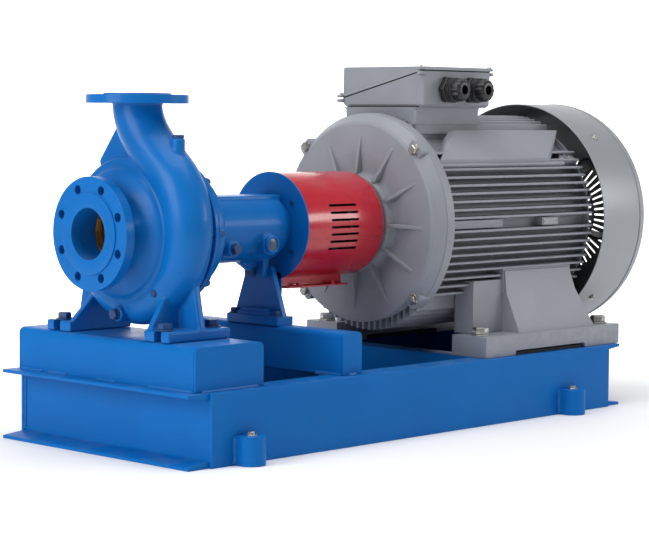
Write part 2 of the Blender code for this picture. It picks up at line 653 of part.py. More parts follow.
def make_motor_frame():
    frame = prism(fin_outline(), "x", 800.0, FRAME_END)
    ring = turned([(SHIELD_BACK + GAP, STATOR_RADIUS - 4), (SHIELD_BACK + GAP, RING_RADIUS),
                   (806, RING_RADIUS), (806, STATOR_RADIUS - 4)], 32, ring=True)
    corner_pads = []
    for side in (-1, 1):
        outline = [(112, 176), (131, 200), (196, 138), (170, 118)]
        corner_pads.append(prism([(side * y, AXIS_Z + z) for y, z in outline], "x", 860, 1240))
    seat = box((828, -100, AXIS_Z + 190), (1030, 100, SEAT_TOP))
    frame = join(frame, ring, *corner_pads, seat)
    for side in (-1, 1):
        block = prism([(side * y, z) for y, z in ((150, 320), (208, 320), (208, 262), (150, 262))],
                      "x", 1000, 1240)
        frame = join(frame, block)
    bore = rod((770, 0, AXIS_Z), (1, 0, 0), STATOR_RADIUS, 540, 28)
    wiring = box((880, -40, AXIS_Z + 150), (980, 40, AXIS_Z + 240))
    frame = cut(frame, bore, wiring)
    finish("motor_frame", frame, GREY)


def make_motor_feet():
    low_z, top = BASE_HEIGHT + GAP, BASE_HEIGHT + GAP + 45.0
    for name, side in (("near", -1), ("far", 1)):
        start, end = MOTOR_FOOT_X
        low, high = sorted((side * 172.0, side * 268.0))
        slab = box((start, low, low_z), (end, high, top))
        web = prism([(side * y, z) for y, z in ((252, top - 4), (214, 268), (214, 316),
                                                (208.5, 318), (208.5, top - 4))],
                    "x", 1004, 1270)
        slope = prism([(1000, top - 20), (1276, top - 20), (1232, 325), (1000, 325)], "y",
                      *sorted((side * 200, side * 262)))
        web = combine("INTERSECT", web, [slope])
        foot = join(slab, web)
        relief = box((974, low - 5, low_z - 5), (1220, high + 5, low_z + 10))
        holes = [rod((x, side * MOTOR_BOLT_Y, low_z - 5), (0, 0, 1), 12, 60, 12)
                 for x in MOTOR_BOLT_X]
        finish("motor_foot_" + name, cut(foot, relief, *holes), GREY)
        for x, row in zip(MOTOR_BOLT_X, ("front", "rear")):
            bolt = hex_bolt((x, side * MOTOR_BOLT_Y, top), (0, 0, 1), 30, 13, 9.5, 62, 20)
            finish(f"motor_foot_bolt_{row}_{name}", bolt, ZINC)


def make_shields():
    """The two end shields that carry the motor's bearings, and the bolts that hold them."""
    bore = clear(MOTOR_BEARING_OD, 32)
    front_face = MOTOR_BEARINGS[0]
    drive = turned([(738, 48), (738, 99), (762, 105), (SHIELD_FACE, 214), (757, SHIELD_RADIUS + 2),
                    (SHIELD_BACK, RING_RADIUS), (SHIELD_BACK, STATOR_RADIUS - 5),
                    (775, 120), (front_face + 38, 104), (front_face + 38, bore),
                    (front_face - GAP, bore), (front_face - GAP, 48)], 32, ring=True)
    ribs = []
    for angle in around(12, radians(-2.4)):
        rib = prism([(737, AXIS_Z + 96), (768, AXIS_Z + 96), (768, AXIS_Z + 186),
                     (756, AXIS_Z + 184)], "y", -3.5, 3.5)
        ribs.append(turn_about_axis(rib, angle))
    drive = join(drive, *ribs)
    lugs = [rod(on_circle(762, 228, angle), (1, 0, 0), 17, 17, 8)
            for angle in around(4, radians(45))]
    finish("drive_end_shield", join(drive, *lugs), GREY)
    rear_face = MOTOR_BEARINGS[1]
    bearing_back = rear_face + MOTOR_BEARING_WIDE + GAP
    rear = turned([(FRAME_END + GAP, STATOR_RADIUS), (FRAME_END + GAP, 220), (1300, 218),
                   (1312, 112), (1312, 48), (bearing_back, 48), (bearing_back, bore),
                   (rear_face - GAP, bore), (rear_face - GAP, 104), (1290, 112)], 32, ring=True)
    finish("rear_end_shield", rear, GREY)


def make_motor_insides(carrier):
    fit = STATOR_RADIUS - 2.5
    stator = turned([(827, 136), (827, 172), (880, 172), (880, fit), (1180, fit), (1180, 172),
                     (1233, 172), (1233, 136)], 20, ring=True)
    finish("stator", stator, COPPER)
    bore = clear(50, 20)
    rotor = turned([(880, bore), (880, 130), (1180, 130), (1180, bore)], 20, ring=True)
    finish("rotor_core", rotor, IRON, carrier)
    rear = MOTOR_BEARINGS[1]
    shaft = turned([(610.5, 0), (610.5, 37.5), (738.5, 37.5), (739.5, MOTOR_BEARING_BORE - GAP),
                    (811, MOTOR_BEARING_BORE - GAP), (811, 50), (rear - 1, 50),
                    (rear - 1, MOTOR_BEARING_BORE - GAP), (1316, MOTOR_BEARING_BORE - GAP),
                    (1316, 30), (1392, 30), (1392, 0)], 16)
    finish("motor_shaft", shaft, STEEL, carrier)
    bore = clear(30, 18)
    hub = turned([(1330, bore), (1330, 56), (1336, 120), (1341, 120), (1345, 56), (1385, 48),
                  (1385, bore)], 18, ring=True)
    blades = []
    for angle in around(7):
        blade = box((1338, -3, AXIS_Z + 50), (1396, 3, AXIS_Z + 215))
        blades.append(turn_about_axis(blade, angle))
    finish("cooling_fan", join(hub, *blades), BLACK, carrier)


def make_cowl():
    sheet = 3.0
    outer = [(COWL_START, COWL_RADIUS), (COWL_SEAM, COWL_RADIUS), (COWL_SEAM + 2, COWL_RADIUS + 2),
             (1450, 260), (1465, 246), (LENGTH, 212), (LENGTH, 0)]
    inner = [(LENGTH - sheet, 0), (LENGTH - sheet, 210), (1463, 242), (1449, 257),
             (COWL_START, COWL_RADIUS - sheet), (COWL_START, COWL_RADIUS)]
    cowl = turned(outer + inner, 32)
    share = tau / 12
    slots = [sector(angle + share * 0.15, angle + share * 0.85, 70, 190, 1460, 1490, 1)
             for angle in around(12)]
    finish("fan_cowl", cut(cowl, *slots), LIGHT_GREY)


# ---- terminal box ----------------------------------------------------------
def make_terminal_box():
    neck_low, box_low = SEAT_TOP + GAP, 674.0
    neck = cut(box((822, -105, neck_low), (1034, 105, box_low - GAP)),
               box((850, -78, neck_low - 5), (1006, 78, box_low + 5)))
    finish("terminal_box_neck", neck, GREY)
    start, end, half = 829.0, 1054.0, 120.0
    split_far, split_near, lid_low = 692.0, BOX_TOP - 10.0, 3.0
    body = prism([(half, box_low), (half, split_far), (-half, split_near), (-half, box_low)], "x",
                 start, end)
    hollow = prism([(half - 6, box_low + 6), (half - 6, BOX_TOP + 5), (6 - half, BOX_TOP + 5),
                    (6 - half, box_low + 6)], "x", start + 6, end - 6)
    ports = [rod((x, -half - 5, 712), (0, 1, 0), 17, 30, 12) for x in (905.0, 985.0)]
    way = box((870, -60, box_low - 5), (986, 60, box_low + 10))
    finish("terminal_box", cut(body, hollow, way, *ports), GREY)
    lid = prism([(half, split_far + lid_low), (half, BOX_TOP - 4), (half - 4, BOX_TOP),
                 (-half, BOX_TOP), (-half, split_near + lid_low)], "x", start, end)
    under = prism([(half - 5, split_far - 10), (half - 5, BOX_TOP - 8), (-20, BOX_TOP - 8),
                   (-20, split_far - 10)], "x", start + 5, end - 5)
    finish("terminal_box_lid", cut(lid, under), GREY)
    block = join(box((890, -55, box_low + 6 + GAP), (970, 55, box_low + 20)),
                 *[rod((930, y, box_low + 16), (0, 0, 1), 4, 16, 8) for y in (-36, 0, 36)])
    finish("terminal_block", block, BLACK)
    for x, place in ((905.0, "front"), (985.0, "rear")):
        nut = rod((x, -half - GAP, 712), (0, -1, 0), hexagon(56), 16, 6)
        collar = rod((x, -half - 15, 712), (0, -1, 0), 26, 22, 12)
        cap = rod((x, -half - 30, 712), (0, -1, 0), hexagon(44), 22, 6)
        thread = rod((x, -half + 10, 712), (0, -1, 0), 16.5, 20, 12)
        gland = join(nut, collar, cap, thread)
        gland = cut(gland, rod((x, -half - 60, 712), (0, 1, 0), 9, 80, 12))
        finish("cable_gland_" + place, gland, BLACK)


# ---- whole set -------------------------------------------------------------
def rotor_axis(name):
    """An empty on the shaft axis that carries what turns."""
    empty = bpy.data.objects.new(name, None)
    empty.location = (0.0, 0.0, AXIS_Z * 0.001)
    bpy.context.collection.objects.link(empty)
    return empty


def main():
    for leftover in list(bpy.data.objects):
        bpy.data.objects.remove(leftover)
    pump_rotor = rotor_axis("pump_rotor_axis")
    motor_rotor = rotor_axis("motor_rotor_axis")
    make_base()
    make_pedestals()
    make_casing()
    make_casing_fittings()
    make_cover()
    make_impeller(pump_rotor)
    make_pump_shaft(pump_rotor)
    for name, face in zip(("front", "rear"), PUMP_BEARINGS):
        bearing("pump_bearing_" + name, face, BEARING_BORE, BEARING_OD, BEARING_WIDE, 6, pump_rotor)
    make_bracket()
    make_support_foot()
    make_coupling(pump_rotor, motor_rotor)
    make_guard()
    make_motor_frame()
    make_motor_feet()
    make_shields()
    for name, face in zip(("front", "rear"), MOTOR_BEARINGS):
        bearing("motor_bearing_" + name, face, MOTOR_BEARING_BORE, MOTOR_BEARING_OD,
                MOTOR_BEARING_WIDE, 6, motor_rotor)
    make_motor_insides(motor_rotor)
    make_cowl()
    make_terminal_box()


main()
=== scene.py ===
"""Detailed look of an end-suction water pump set: pump, guarded coupling, motor and base.

Shapes are drawn in millimetres, with x measured back from the suction face, y across
the set and z up from the floor. piece() turns a drawing into an object in metres that
rides on its body. Places come from the boxes of the fixed frame's nodes.
"""
from math import atan2, cos, pi, radians, sin, sqrt, tau

import bmesh
import bpy
from bpy.props import FloatProperty, FloatVectorProperty, IntProperty, PointerProperty
from mathutils import Matrix, Vector


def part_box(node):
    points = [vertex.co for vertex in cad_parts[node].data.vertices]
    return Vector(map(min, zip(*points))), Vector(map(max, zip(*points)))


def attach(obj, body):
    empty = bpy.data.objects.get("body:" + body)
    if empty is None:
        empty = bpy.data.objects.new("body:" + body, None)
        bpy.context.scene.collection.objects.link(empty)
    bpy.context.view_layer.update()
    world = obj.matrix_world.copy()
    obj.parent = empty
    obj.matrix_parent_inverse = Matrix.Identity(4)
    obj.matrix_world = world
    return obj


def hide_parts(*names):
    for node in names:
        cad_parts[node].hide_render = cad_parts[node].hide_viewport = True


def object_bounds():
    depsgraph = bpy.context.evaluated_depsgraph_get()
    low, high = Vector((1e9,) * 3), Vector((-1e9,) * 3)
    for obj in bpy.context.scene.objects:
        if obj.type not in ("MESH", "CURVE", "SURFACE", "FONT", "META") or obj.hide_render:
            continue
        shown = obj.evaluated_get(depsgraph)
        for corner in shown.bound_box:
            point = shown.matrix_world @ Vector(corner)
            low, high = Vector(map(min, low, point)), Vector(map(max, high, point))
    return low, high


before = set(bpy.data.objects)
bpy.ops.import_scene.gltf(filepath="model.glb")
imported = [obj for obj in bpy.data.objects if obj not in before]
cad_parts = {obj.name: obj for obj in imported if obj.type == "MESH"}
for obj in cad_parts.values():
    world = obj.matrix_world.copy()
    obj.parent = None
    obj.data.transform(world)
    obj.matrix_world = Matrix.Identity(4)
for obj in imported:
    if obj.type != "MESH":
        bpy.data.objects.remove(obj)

bl_info = {
    "name": "Water Pump Set",
    "version": (1, 0, 0),
    "blender": (4, 5, 0),
    "location": "View3D > Sidebar > Pump Set",
    "description": "Builds the detailed shapes and finishes of a water pump set",
    "category": "Add Mesh",
}

CAD_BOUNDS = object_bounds()
FRONT = CAD_BOUNDS[0][0]
MM = 0.001


def corners(node):
    """Lowest and highest corner of a node's box, in drawing millimetres."""
    return [Vector(((corner[0] - FRONT) / MM, corner[1] / MM, corner[2] / MM))
            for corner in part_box(node)]


# ---- places taken from the frame --------------------------------------------
SHAFT = corners("motor_shaft")
AXIS_Z = (SHAFT[0].z + SHAFT[1].z) / 2
RAIL = corners("base_side_rail_far")
BASE_HEIGHT = RAIL[1].z
FRONT_CHANNEL = corners("base_end_channel_front")
REAR_CHANNEL = corners("base_end_channel_rear")
CROSS = corners("base_cross_member")
PUMP_PEDESTAL = corners("pump_pedestal")
BRACKET_PEDESTAL = corners("bracket_pedestal")
PEDESTAL_TOP = PUMP_PEDESTAL[1].z
CASING = corners("volute_casing")
DISCHARGE_X = CASING[1].x - 100.0
DISCHARGE_TOP = CASING[1].z
COVER = corners("casing_cover")
BRACKET = corners("bearing_bracket")
FOOT = corners("support_foot")
GLASS = corners("oil_sight_glass")
OIL_PLUG = corners("oil_drain_plug")
GUARD = corners("coupling_guard")
GUARD_RADIUS = GUARD[1].y
SHIELD = corners("drive_end_shield")
RING_RADIUS = SHIELD[1].y
SHIELD_FACE = SHIELD[0].x + 15.0
BARREL_RADIUS = 204.0
FIN_TIP_RADIUS = 233.0
MOTOR = corners("motor_frame")
COWL = corners("fan_cowl")
MOTOR_FOOT = corners("motor_foot_far")
BOX = corners("terminal_box")
LID = corners("terminal_box_lid")
NECK = corners("terminal_box_neck")
RAIL_OUTER = 284.5
SLEEVE_RADIUS = 28.0
SLEEVE_Y = RAIL[1].y - SLEEVE_RADIUS
SLEEVE_X = (147.0, 1135.0)

SCROLL_START, SCROLL_END = radians(30.0), radians(312.0)
FOOT_BOLT_Y = 150.0
COVER_STUD_RADIUS = 139.5
CAMERA_ANGLES = (-46.04, 4.19, 0.47)
CAMERA_TARGET = Vector((-0.121, -0.034, 0.331))
CAMERA_DISTANCE = 4.4
FLOOR_REACH = 9.0


# ---- settings that a user would change --------------------------------------
def colour(name, description, default):
    return FloatVectorProperty(name=name, description=description, default=default,
                               subtype="COLOR", min=0.0, max=1.0)


class PumpSetColours(bpy.types.PropertyGroup):
    """Colours of the painted and plated surfaces."""
    pump_blue: colour("Pump blue", "Enamel of the pump and base", (0.003, 0.136, 0.450))
    fastener_blue: colour("Fastener blue", "Bolts painted over", (0.008, 0.050, 0.170))
    guard_red: colour("Guard red", "Enamel of the coupling guard", (0.500, 0.010, 0.026))
    motor_grey: colour("Motor grey", "Enamel of the motor castings", (0.270, 0.285, 0.320))
    cowl_grey: colour("Cowl grey", "Enamel of the fan cowl", (0.360, 0.372, 0.405))
    plating: colour("Plating", "Zinc on the motor's bolts", (0.560, 0.550, 0.520))


class PumpSetDetails(bpy.types.PropertyGroup):
    """Sizes of the fine detail."""
    cast_voxel: FloatProperty(
        name="Casting detail", description="Grid on which cast shapes are blended",
        default=0.0022, min=0.0015, max=0.006, unit="LENGTH")
    cast_blend: IntProperty(
        name="Casting blend", description="Smoothing passes over cast corners",
        default=5, min=0, max=30)
    edge_break: FloatProperty(
        name="Edge break", description="Rounding of machined and folded edges",
        default=0.0010, min=0.0001, max=0.004, unit="LENGTH")
    bead_radius: FloatProperty(
        name="Weld bead", description="Half width of the weld beads on the base",
        default=0.0035, min=0.001, max=0.01, unit="LENGTH")
    fin_pitch: FloatProperty(
        name="Fin pitch", description="Distance between the motor's cooling fins",
        default=0.017, min=0.01, max=0.03, unit="LENGTH")
    round_sides: IntProperty(
        name="Round sides", description="Sides of the large turned shapes",
        default=128, min=48, max=256)


# ---- drawing tools ------------------------------------------------------------
PLACES = {"x": lambda a, b, along: (along, a, b), "y": lambda a, b, along: (a, along, b),
          "z": lambda a, b, along: (a, b, along)}


def details():
    return bpy.context.scene.pump_set_details


def rounded(points, radius, closed=True, steps=3):
    """Round an outline's corners; a point's third value is a radius of its own."""
    smooth = []
    count = len(points)
    for index, point in enumerate(points):
        own = point[2] if len(point) > 2 else radius
        here = Vector(point[:2])
        before = Vector(points[index - 1][:2]) - here
        after = Vector(points[(index + 1) % count][:2]) - here
        reach = min(own, before.length * 0.48, after.length * 0.48)
        if reach < 0.05 or (not closed and index in (0, count - 1)):
            smooth.append(tuple(here))
            continue
        start = here + before.normalized() * reach
        end = here + after.normalized() * reach
        for step in range(steps + 1):
            t = step / steps
            smooth.append(tuple(start * (1 - t) ** 2 + here * 2 * t * (1 - t) + end * t * t))
    return smooth


def circle(a, b, radius, sides=48, start=0.0):
    """Points of a circle in an outline's own two coordinates."""
    return [(a + radius * cos(start + tau * k / sides), b + radius * sin(start + tau * k / sides))
            for k in range(sides)]


def around(count, start=0.0):
    return [start + tau * k / count for k in range(count)]


def on_circle(x, radius, angle):
    """A point at a radius from the shaft axis; the angle starts at the top, towards +y."""
    return Vector((x, radius * sin(angle), AXIS_Z + radius * cos(angle)))


def add_skin(bm, rings, joined=False):
    """Skin rings of equally many points, and cap both ends unless they join up."""
    loops = [[bm.verts.new(point) for point in ring] for ring in rings]
    for step in range(len(loops) if joined else len(loops) - 1):
        here, there = loops[step], loops[(step + 1) % len(loops)]
        for index in range(len(here)):
            after = (index + 1) % len(here)
            bm.faces.new((here[index], here[after], there[after], there[index]))
    if not joined:
        bm.faces.new(loops[0])
        bm.faces.new(list(reversed(loops[-1])))


def add_prism(bm, outline, axis, low, high):
    place = PLACES[axis]
    add_skin(bm, [[place(a, b, level) for a, b in outline] for level in (low, high)])


def add_block(bm, low, high):
    outline = [(low[0], low[1]), (high[0], low[1]), (high[0], high[1]), (low[0], high[1])]
    add_prism(bm, outline, "z", low[2], high[2])


def add_plate(bm, outline, holes, axis, low, high):
    """A flat plate with holes through it; the other two coordinates come in order."""
    place = PLACES[axis]
    sheets = []
    for level in (low, high):
        loops, edges = [], []
        for loop in [outline] + holes:
            verts = [bm.verts.new(place(a, b, level)) for a, b in loop]
            edges += [bm.edges.new((verts[k - 1], verts[k])) for k in range(len(verts))]
            loops.append(verts)
        bmesh.ops.triangle_fill(bm, use_beauty=True, edges=edges)
        sheets.append(loops)
    for lower, upper in zip(*sheets):
        for k in range(len(lower)):
            bm.faces.new((lower[k - 1], lower[k], upper[k], upper[k - 1]))


def add_turned(bm, profile, base=None, direction=(1, 0, 0), sides=0, ring=False, start=0.0):
    """Turn (along, radius) points round a line; a ring's profile closes on itself."""
    base = Vector(base or (0.0, 0.0, AXIS_Z))
    direction = Vector(direction).normalized()
    sides = sides or details().round_sides
    side = Vector((0, 1, 0)) if abs(direction.x) > 0.9 else direction.orthogonal().normalized()
    other = direction.cross(side)
    loops = []
    for along, radius in profile:
        middle = base + direction * along
        if radius <= 0.0:
            loops.append([bm.verts.new(middle)])
            continue
        loops.append([bm.verts.new(middle + side * radius * cos(start + tau * k / sides)
                                   + other * radius * sin(start + tau * k / sides))
                      for k in range(sides)])
    pairs = list(zip(loops, loops[1:]))
    if ring:
        pairs.append((loops[-1], loops[0]))
    for here, there in pairs:
        for k in range(sides):
            after = (k + 1) % sides
            face = [here[k % len(here)], here[after % len(here)],
                    there[after % len(there)], there[k % len(there)]]
            face = [vert for i, vert in enumerate(face) if vert not in face[:i]]
            if len(face) > 2:
                bm.faces.new(face)


def add_rod(bm, base, direction, radius, length, sides=24, edge=0.6):
    """A round bar with slightly broken edges."""
    profile = [(0, 0), (0, radius - edge), (edge, radius), (length - edge, radius),
               (length, radius - edge), (length, 0)]
    add_turned(bm, profile, base, direction, sides)


def add_hex(bm, seat, direction, flats, height, washer=0.0, stud=0.0, turn=0.0):
    """A chamfered hexagon on a washer, with the end of its stud if it is a nut."""
    seat, direction = Vector(seat), Vector(direction).normalized()
    lift = 0.0
    if washer:
        lift = 2.6
        add_rod(bm, seat, direction, washer, lift, 28, 0.5)
    radius = flats / (2 * cos(pi / 6))
    seat = seat + direction * lift
    add_turned(bm, [(0, 0), (0, radius * 0.97), (height * 0.08, radius), (height * 0.80, radius),
                    (height, radius * 0.86), (height, 0)], seat, direction, 6, start=turn)
    if stud:
        add_rod(bm, seat + direction * height * 0.9, direction, stud, height * 0.55, 16, 0.8)


def add_bead(bm, start, end, radius):
    """A weld bead: a bar whose thickness ripples along it."""
    start, end = Vector(start), Vector(end)
    along = (end - start).normalized()
    side = along.orthogonal().normalized()
    other = along.cross(side)
    steps = max(3, int((end - start).length / 2.5))
    rings = []
    for step in range(steps + 1):
        t = step / steps
        grown = radius * (1.0 + 0.13 * sin(step * 2.1) + 0.06 * sin(step * 0.7))
        grown *= 0.35 if step in (0, steps) else 1.0
        middle = start.lerp(end, t)
        rings.append([middle + side * grown * cos(tau * k / 8) + other * grown * sin(tau * k / 8)
                      for k in range(8)])
    add_skin(bm, rings)


def add_slab(bm, side, x, out, z):
    """A block on one side of the set: its reach in x, outwards and in z."""
    low, high = sorted((side * out[0], side * out[1]))
    add_block(bm, (x[0], low, z[0]), (x[1], high, z[1]))


def drop(shape):
    mesh = shape.data
    bpy.data.objects.remove(shape)
    bpy.data.meshes.remove(mesh)


def drawn(bm, name="shape"):
    """Turn a drawing into an object, in metres."""
    bmesh.ops.recalc_face_normals(bm, faces=bm.faces)
    bm.transform(Matrix.Translation((FRONT, 0, 0)) @ Matrix.Scale(MM, 4))
    mesh = bpy.data.meshes.new(name)
    bm.to_mesh(mesh)
    bm.free()
    shape = bpy.data.objects.new(name, mesh)
    bpy.context.collection.objects.link(shape)
    return shape


def settle(shape):
    """Apply a shape's modifiers."""
    graph = bpy.context.evaluated_depsgraph_get()
    graph.update()
    result = bpy.data.meshes.new_from_object(shape.evaluated_get(graph))
    old = shape.data
    shape.modifiers.clear()
    shape.data = result
    bpy.data.meshes.remove(old)
    return shape


def cut(shape, drawing, solver="EXACT"):
    """Cut a drawing out of a shape."""
    cutter = drawn(drawing, "cutter")
    step = shape.modifiers.new("cut", "BOOLEAN")
    step.operation = "DIFFERENCE"
    step.solver = solver
    step.object = cutter
    settle(shape)
    drop(cutter)
    return shape


def cast(drawing, finer=1.0, blend=None):
    """Blend a drawing's overlapping solids into one casting with soft corners."""
    shape = drawn(drawing, "casting")
    remesh = shape.modifiers.new("blend", "REMESH")
    remesh.mode = "VOXEL"
    remesh.voxel_size = details().cast_voxel * finer
    smooth = shape.modifiers.new("soften", "SMOOTH")
    smooth.factor = 0.5
    smooth.iterations = details().cast_blend if blend is None else blend
    return settle(shape)


def piece(name, shape, finish, body="root", replaces=(), break_edge=0.0, angle=38.0):
    """Finish a drawing or shape as a named piece that rides on a body."""
    if isinstance(shape, bmesh.types.BMesh):
        shape = drawn(shape, name)
    shape.name = name
    shape.data.name = name
    shape.data.materials.clear()
    shape.data.materials.append(material(finish))
    shape.data.shade_smooth()
    if break_edge:
        bevel = shape.modifiers.new("edge", "BEVEL")
        bevel.width = break_edge * MM
        bevel.segments = 2
        bevel.limit_method = "ANGLE"
        bevel.angle_limit = radians(angle)
        bevel.harden_normals = True
        settle(shape)
    else:
        shape.data.set_sharp_from_angle(angle=radians(angle))
    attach(shape, body)
    if replaces:
        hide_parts(*replaces)
    return shape


# ---- shader groups ------------------------------------------------------------
def new_group(name, inputs, outputs):
    """An empty node group with named sockets: (name, kind, default) and (name, kind)."""
    tree = bpy.data.node_groups.new(name, "ShaderNodeTree")
    for label, kind, default in inputs:
        socket = tree.interface.new_socket(label, in_out="INPUT", socket_type="NodeSocket" + kind)
        socket.default_value = default
    for label, kind in outputs:
        tree.interface.new_socket(label, in_out="OUTPUT", socket_type="NodeSocket" + kind)
    start = tree.nodes.new("NodeGroupInput")
    end = tree.nodes.new("NodeGroupOutput")
    return tree, start, end


def math_node(tree, operation, first, second, clamp=False):
    node = tree.nodes.new("ShaderNodeMath")
    node.operation = operation
    node.use_clamp = clamp
    for socket, value in zip(node.inputs, (first, second)):
        if isinstance(value, (int, float)):
            socket.default_value = value
        else:
            tree.links.new(value, socket)
    return node.outputs[0]


def noise(tree, scale, detail=3.0, stretch=None):
    """Noise over the object's own coordinates; scale may be a socket."""
    coords = tree.nodes.new("ShaderNodeTexCoord").outputs["Object"]
    if stretch:
        mapping = tree.nodes.new("ShaderNodeMapping")
        mapping.inputs["Scale"].default_value = stretch
        tree.links.new(coords, mapping.inputs["Vector"])
        coords = mapping.outputs["Vector"]
    node = tree.nodes.new("ShaderNodeTexNoise")
    node.inputs["Detail"].default_value = detail
    tree.links.new(coords, node.inputs["Vector"])
    if isinstance(scale, (int, float)):
        node.inputs["Scale"].default_value = scale
    else:
        tree.links.new(scale, node.inputs["Scale"])
    return node.outputs["Fac"]


def remap(tree, value, low, high, to_low=0.0, to_high=1.0):
    node = tree.nodes.new("ShaderNodeMapRange")
    node.inputs["From Min"].default_value = low
    node.inputs["From Max"].default_value = high
    node.inputs["To Min"].default_value = to_low
    node.inputs["To Max"].default_value = to_high
    tree.links.new(value, node.inputs["Value"])
    return node.outputs["Result"]


def wear_and_light_group():
    """Paint worn thin on outward corners, and dirt gathered in inward ones."""
    tree, start, end = new_group(
        "Corner Wear", [("Amount", "Float", 0.5), ("Breakup", "Float", 60.0)],
        [("Edge", "Float"), ("Hollow", "Float")])
    point = tree.nodes.new("ShaderNodeNewGeometry").outputs["Pointiness"]
    broken = remap(tree, noise(tree, start.outputs["Breakup"], 4.0), 0.40, 0.62)
    # Edge: outward corners, lightened partly as paint wear and partly as a painted highlight
    edge = math_node(tree, "MULTIPLY", remap(tree, point, 0.60, 0.70), broken)
    tree.links.new(math_node(tree, "MULTIPLY", edge, start.outputs["Amount"], True),
                   end.inputs["Edge"])
    # Hollow: inward corners, where shade is painted in
    tree.links.new(remap(tree, point, 0.49, 0.42), end.inputs["Hollow"])
    return tree


def grain_group():
    """Height of a painted surface: fine grain with slow waves under it."""
    tree, start, end = new_group(
        "Surface Grain", [("Grain", "Float", 500.0), ("Waves", "Float", 30.0),
                          ("Wave Share", "Float", 0.5)],
        [("Height", "Float"), ("Variation", "Float")])
    fine = noise(tree, start.outputs["Grain"], 3.0)
    slow = noise(tree, start.outputs["Waves"], 2.0)
    waves = math_node(tree, "MULTIPLY", slow, start.outputs["Wave Share"])
    tree.links.new(math_node(tree, "ADD", fine, waves), end.inputs["Height"])
    tree.links.new(slow, end.inputs["Variation"])
    return tree


def dust_group():
    """Dust that has settled on what faces up."""
    tree, start, end = new_group("Settled Dust", [("Amount", "Float", 0.3)], [("Mask", "Float")])
    normal = tree.nodes.new("ShaderNodeNewGeometry").outputs["Normal"]
    split = tree.nodes.new("ShaderNodeSeparateXYZ")
    tree.links.new(normal, split.inputs[0])
    facing = remap(tree, split.outputs["Z"], 0.6, 1.0)
    patchy = remap(tree, noise(tree, 22.0, 5.0), 0.42, 0.70)
    mask = math_node(tree, "MULTIPLY", facing, patchy)
    tree.links.new(math_node(tree, "MULTIPLY", mask, start.outputs["Amount"], True),
                   end.inputs["Mask"])
    return tree


GROUPS = {"Corner Wear": wear_and_light_group, "Surface Grain": grain_group, "Settled Dust": dust_group}


def use_group(tree, name, **values):
    """Place a shared group in a material, with its own values."""
    node = tree.nodes.new("ShaderNodeGroup")
    node.node_tree = bpy.data.node_groups.get(name) or GROUPS[name]()
    for label, value in values.items():
        node.inputs[label.replace("_", " ")].default_value = value
    return node


def mixed(tree, mask, first, second):
    """Mix two colours, each a colour or a socket, by a mask."""
    node = tree.nodes.new("ShaderNodeMix")
    node.data_type = "RGBA"
    tree.links.new(mask, node.inputs["Factor"])
    for socket, value in ((node.inputs[6], first), (node.inputs[7], second)):
        if isinstance(value, bpy.types.NodeSocket):
            tree.links.new(value, socket)
        else:
            socket.default_value = (*value, 1.0)
    return node.outputs[2]


def bump(tree, shader, height, distance, strength=1.0):
    node = tree.nodes.new("ShaderNodeBump")
    node.inputs["Distance"].default_value = distance
    node.inputs["Strength"].default_value = strength
    tree.links.new(height, node.inputs["Height"])
    tree.links.new(node.outputs["Normal"], shader.inputs["Normal"])


def shaded(tone, factor):
    return tuple(min(1.0, channel * factor) for channel in tone)


def enamel(made, tone, rough, grain, relief, edge_wear_and_highlight=0.25, dust=0.12, coat=0.0, waves=14.0,
           gloss=0.4):
    """Paint over metal: grain, thin corners, dirt in hollows and dust on top."""
    tree = made.node_tree
    shader = tree.nodes["Principled BSDF"]
    surface = use_group(tree, "Surface Grain", Grain=grain, Waves=waves, Wave_Share=1.4)
    corner_wear_and_light = use_group(tree, "Corner Wear", Amount=edge_wear_and_highlight)
    dusty = use_group(tree, "Settled Dust", Amount=dust)
    varied = mixed(tree, surface.outputs["Variation"], shaded(tone, 0.90), shaded(tone, 1.10))
    # Hollows darkened towards a third of the tone: painted shade
    hollow_shaded = mixed(tree, math_node(tree, "MULTIPLY", corner_wear_and_light.outputs["Hollow"], 0.45), varied,
                  shaded(tone, 0.35))
    # Outward corners lightened: partly worn paint, partly a painted highlight
    edge_worn_and_highlit = mixed(tree, corner_wear_and_light.outputs["Edge"], hollow_shaded,
                 tuple(0.55 * channel + 0.22 for channel in tone))
    tree.links.new(mixed(tree, dusty.outputs["Mask"], edge_worn_and_highlit, (0.42, 0.42, 0.42)),
                   shader.inputs["Base Color"])
    spread = remap(tree, surface.outputs["Variation"], 0.3, 0.7, rough - 0.05, rough + 0.06)
    dulled = math_node(tree, "MULTIPLY", dusty.outputs["Mask"], 0.35)
    tree.links.new(math_node(tree, "ADD", spread, dulled, True), shader.inputs["Roughness"])
    shader.inputs["Specular IOR Level"].default_value = gloss
    shader.inputs["Coat Weight"].default_value = coat
    shader.inputs["Coat Roughness"].default_value = 0.12
    bump(tree, shader, surface.outputs["Height"], relief)


def bare_metal(made, tone, rough, stretch, relief=0.00004, dark=0.6):
    """Bare or plated metal with drawn-out tool marks and uneven tarnish."""
    tree = made.node_tree
    shader = tree.nodes["Principled BSDF"]
    marks = noise(tree, 260.0, 3.0, stretch)
    stain = noise(tree, 45.0, 5.0)
    corner_wear_and_light = use_group(tree, "Corner Wear", Amount=0.7)
    tarnished = mixed(tree, remap(tree, stain, 0.35, 0.70), tone, shaded(tone, dark))
    # Hollows darkened to a quarter of the tone: painted shade
    tree.links.new(mixed(tree, corner_wear_and_light.outputs["Hollow"], tarnished, shaded(tone, 0.25)),
                   shader.inputs["Base Color"])
    shader.inputs["Metallic"].default_value = 1.0
    tree.links.new(remap(tree, marks, 0.3, 0.7, rough - 0.07, rough + 0.12),
                   shader.inputs["Roughness"])
    bump(tree, shader, marks, relief)


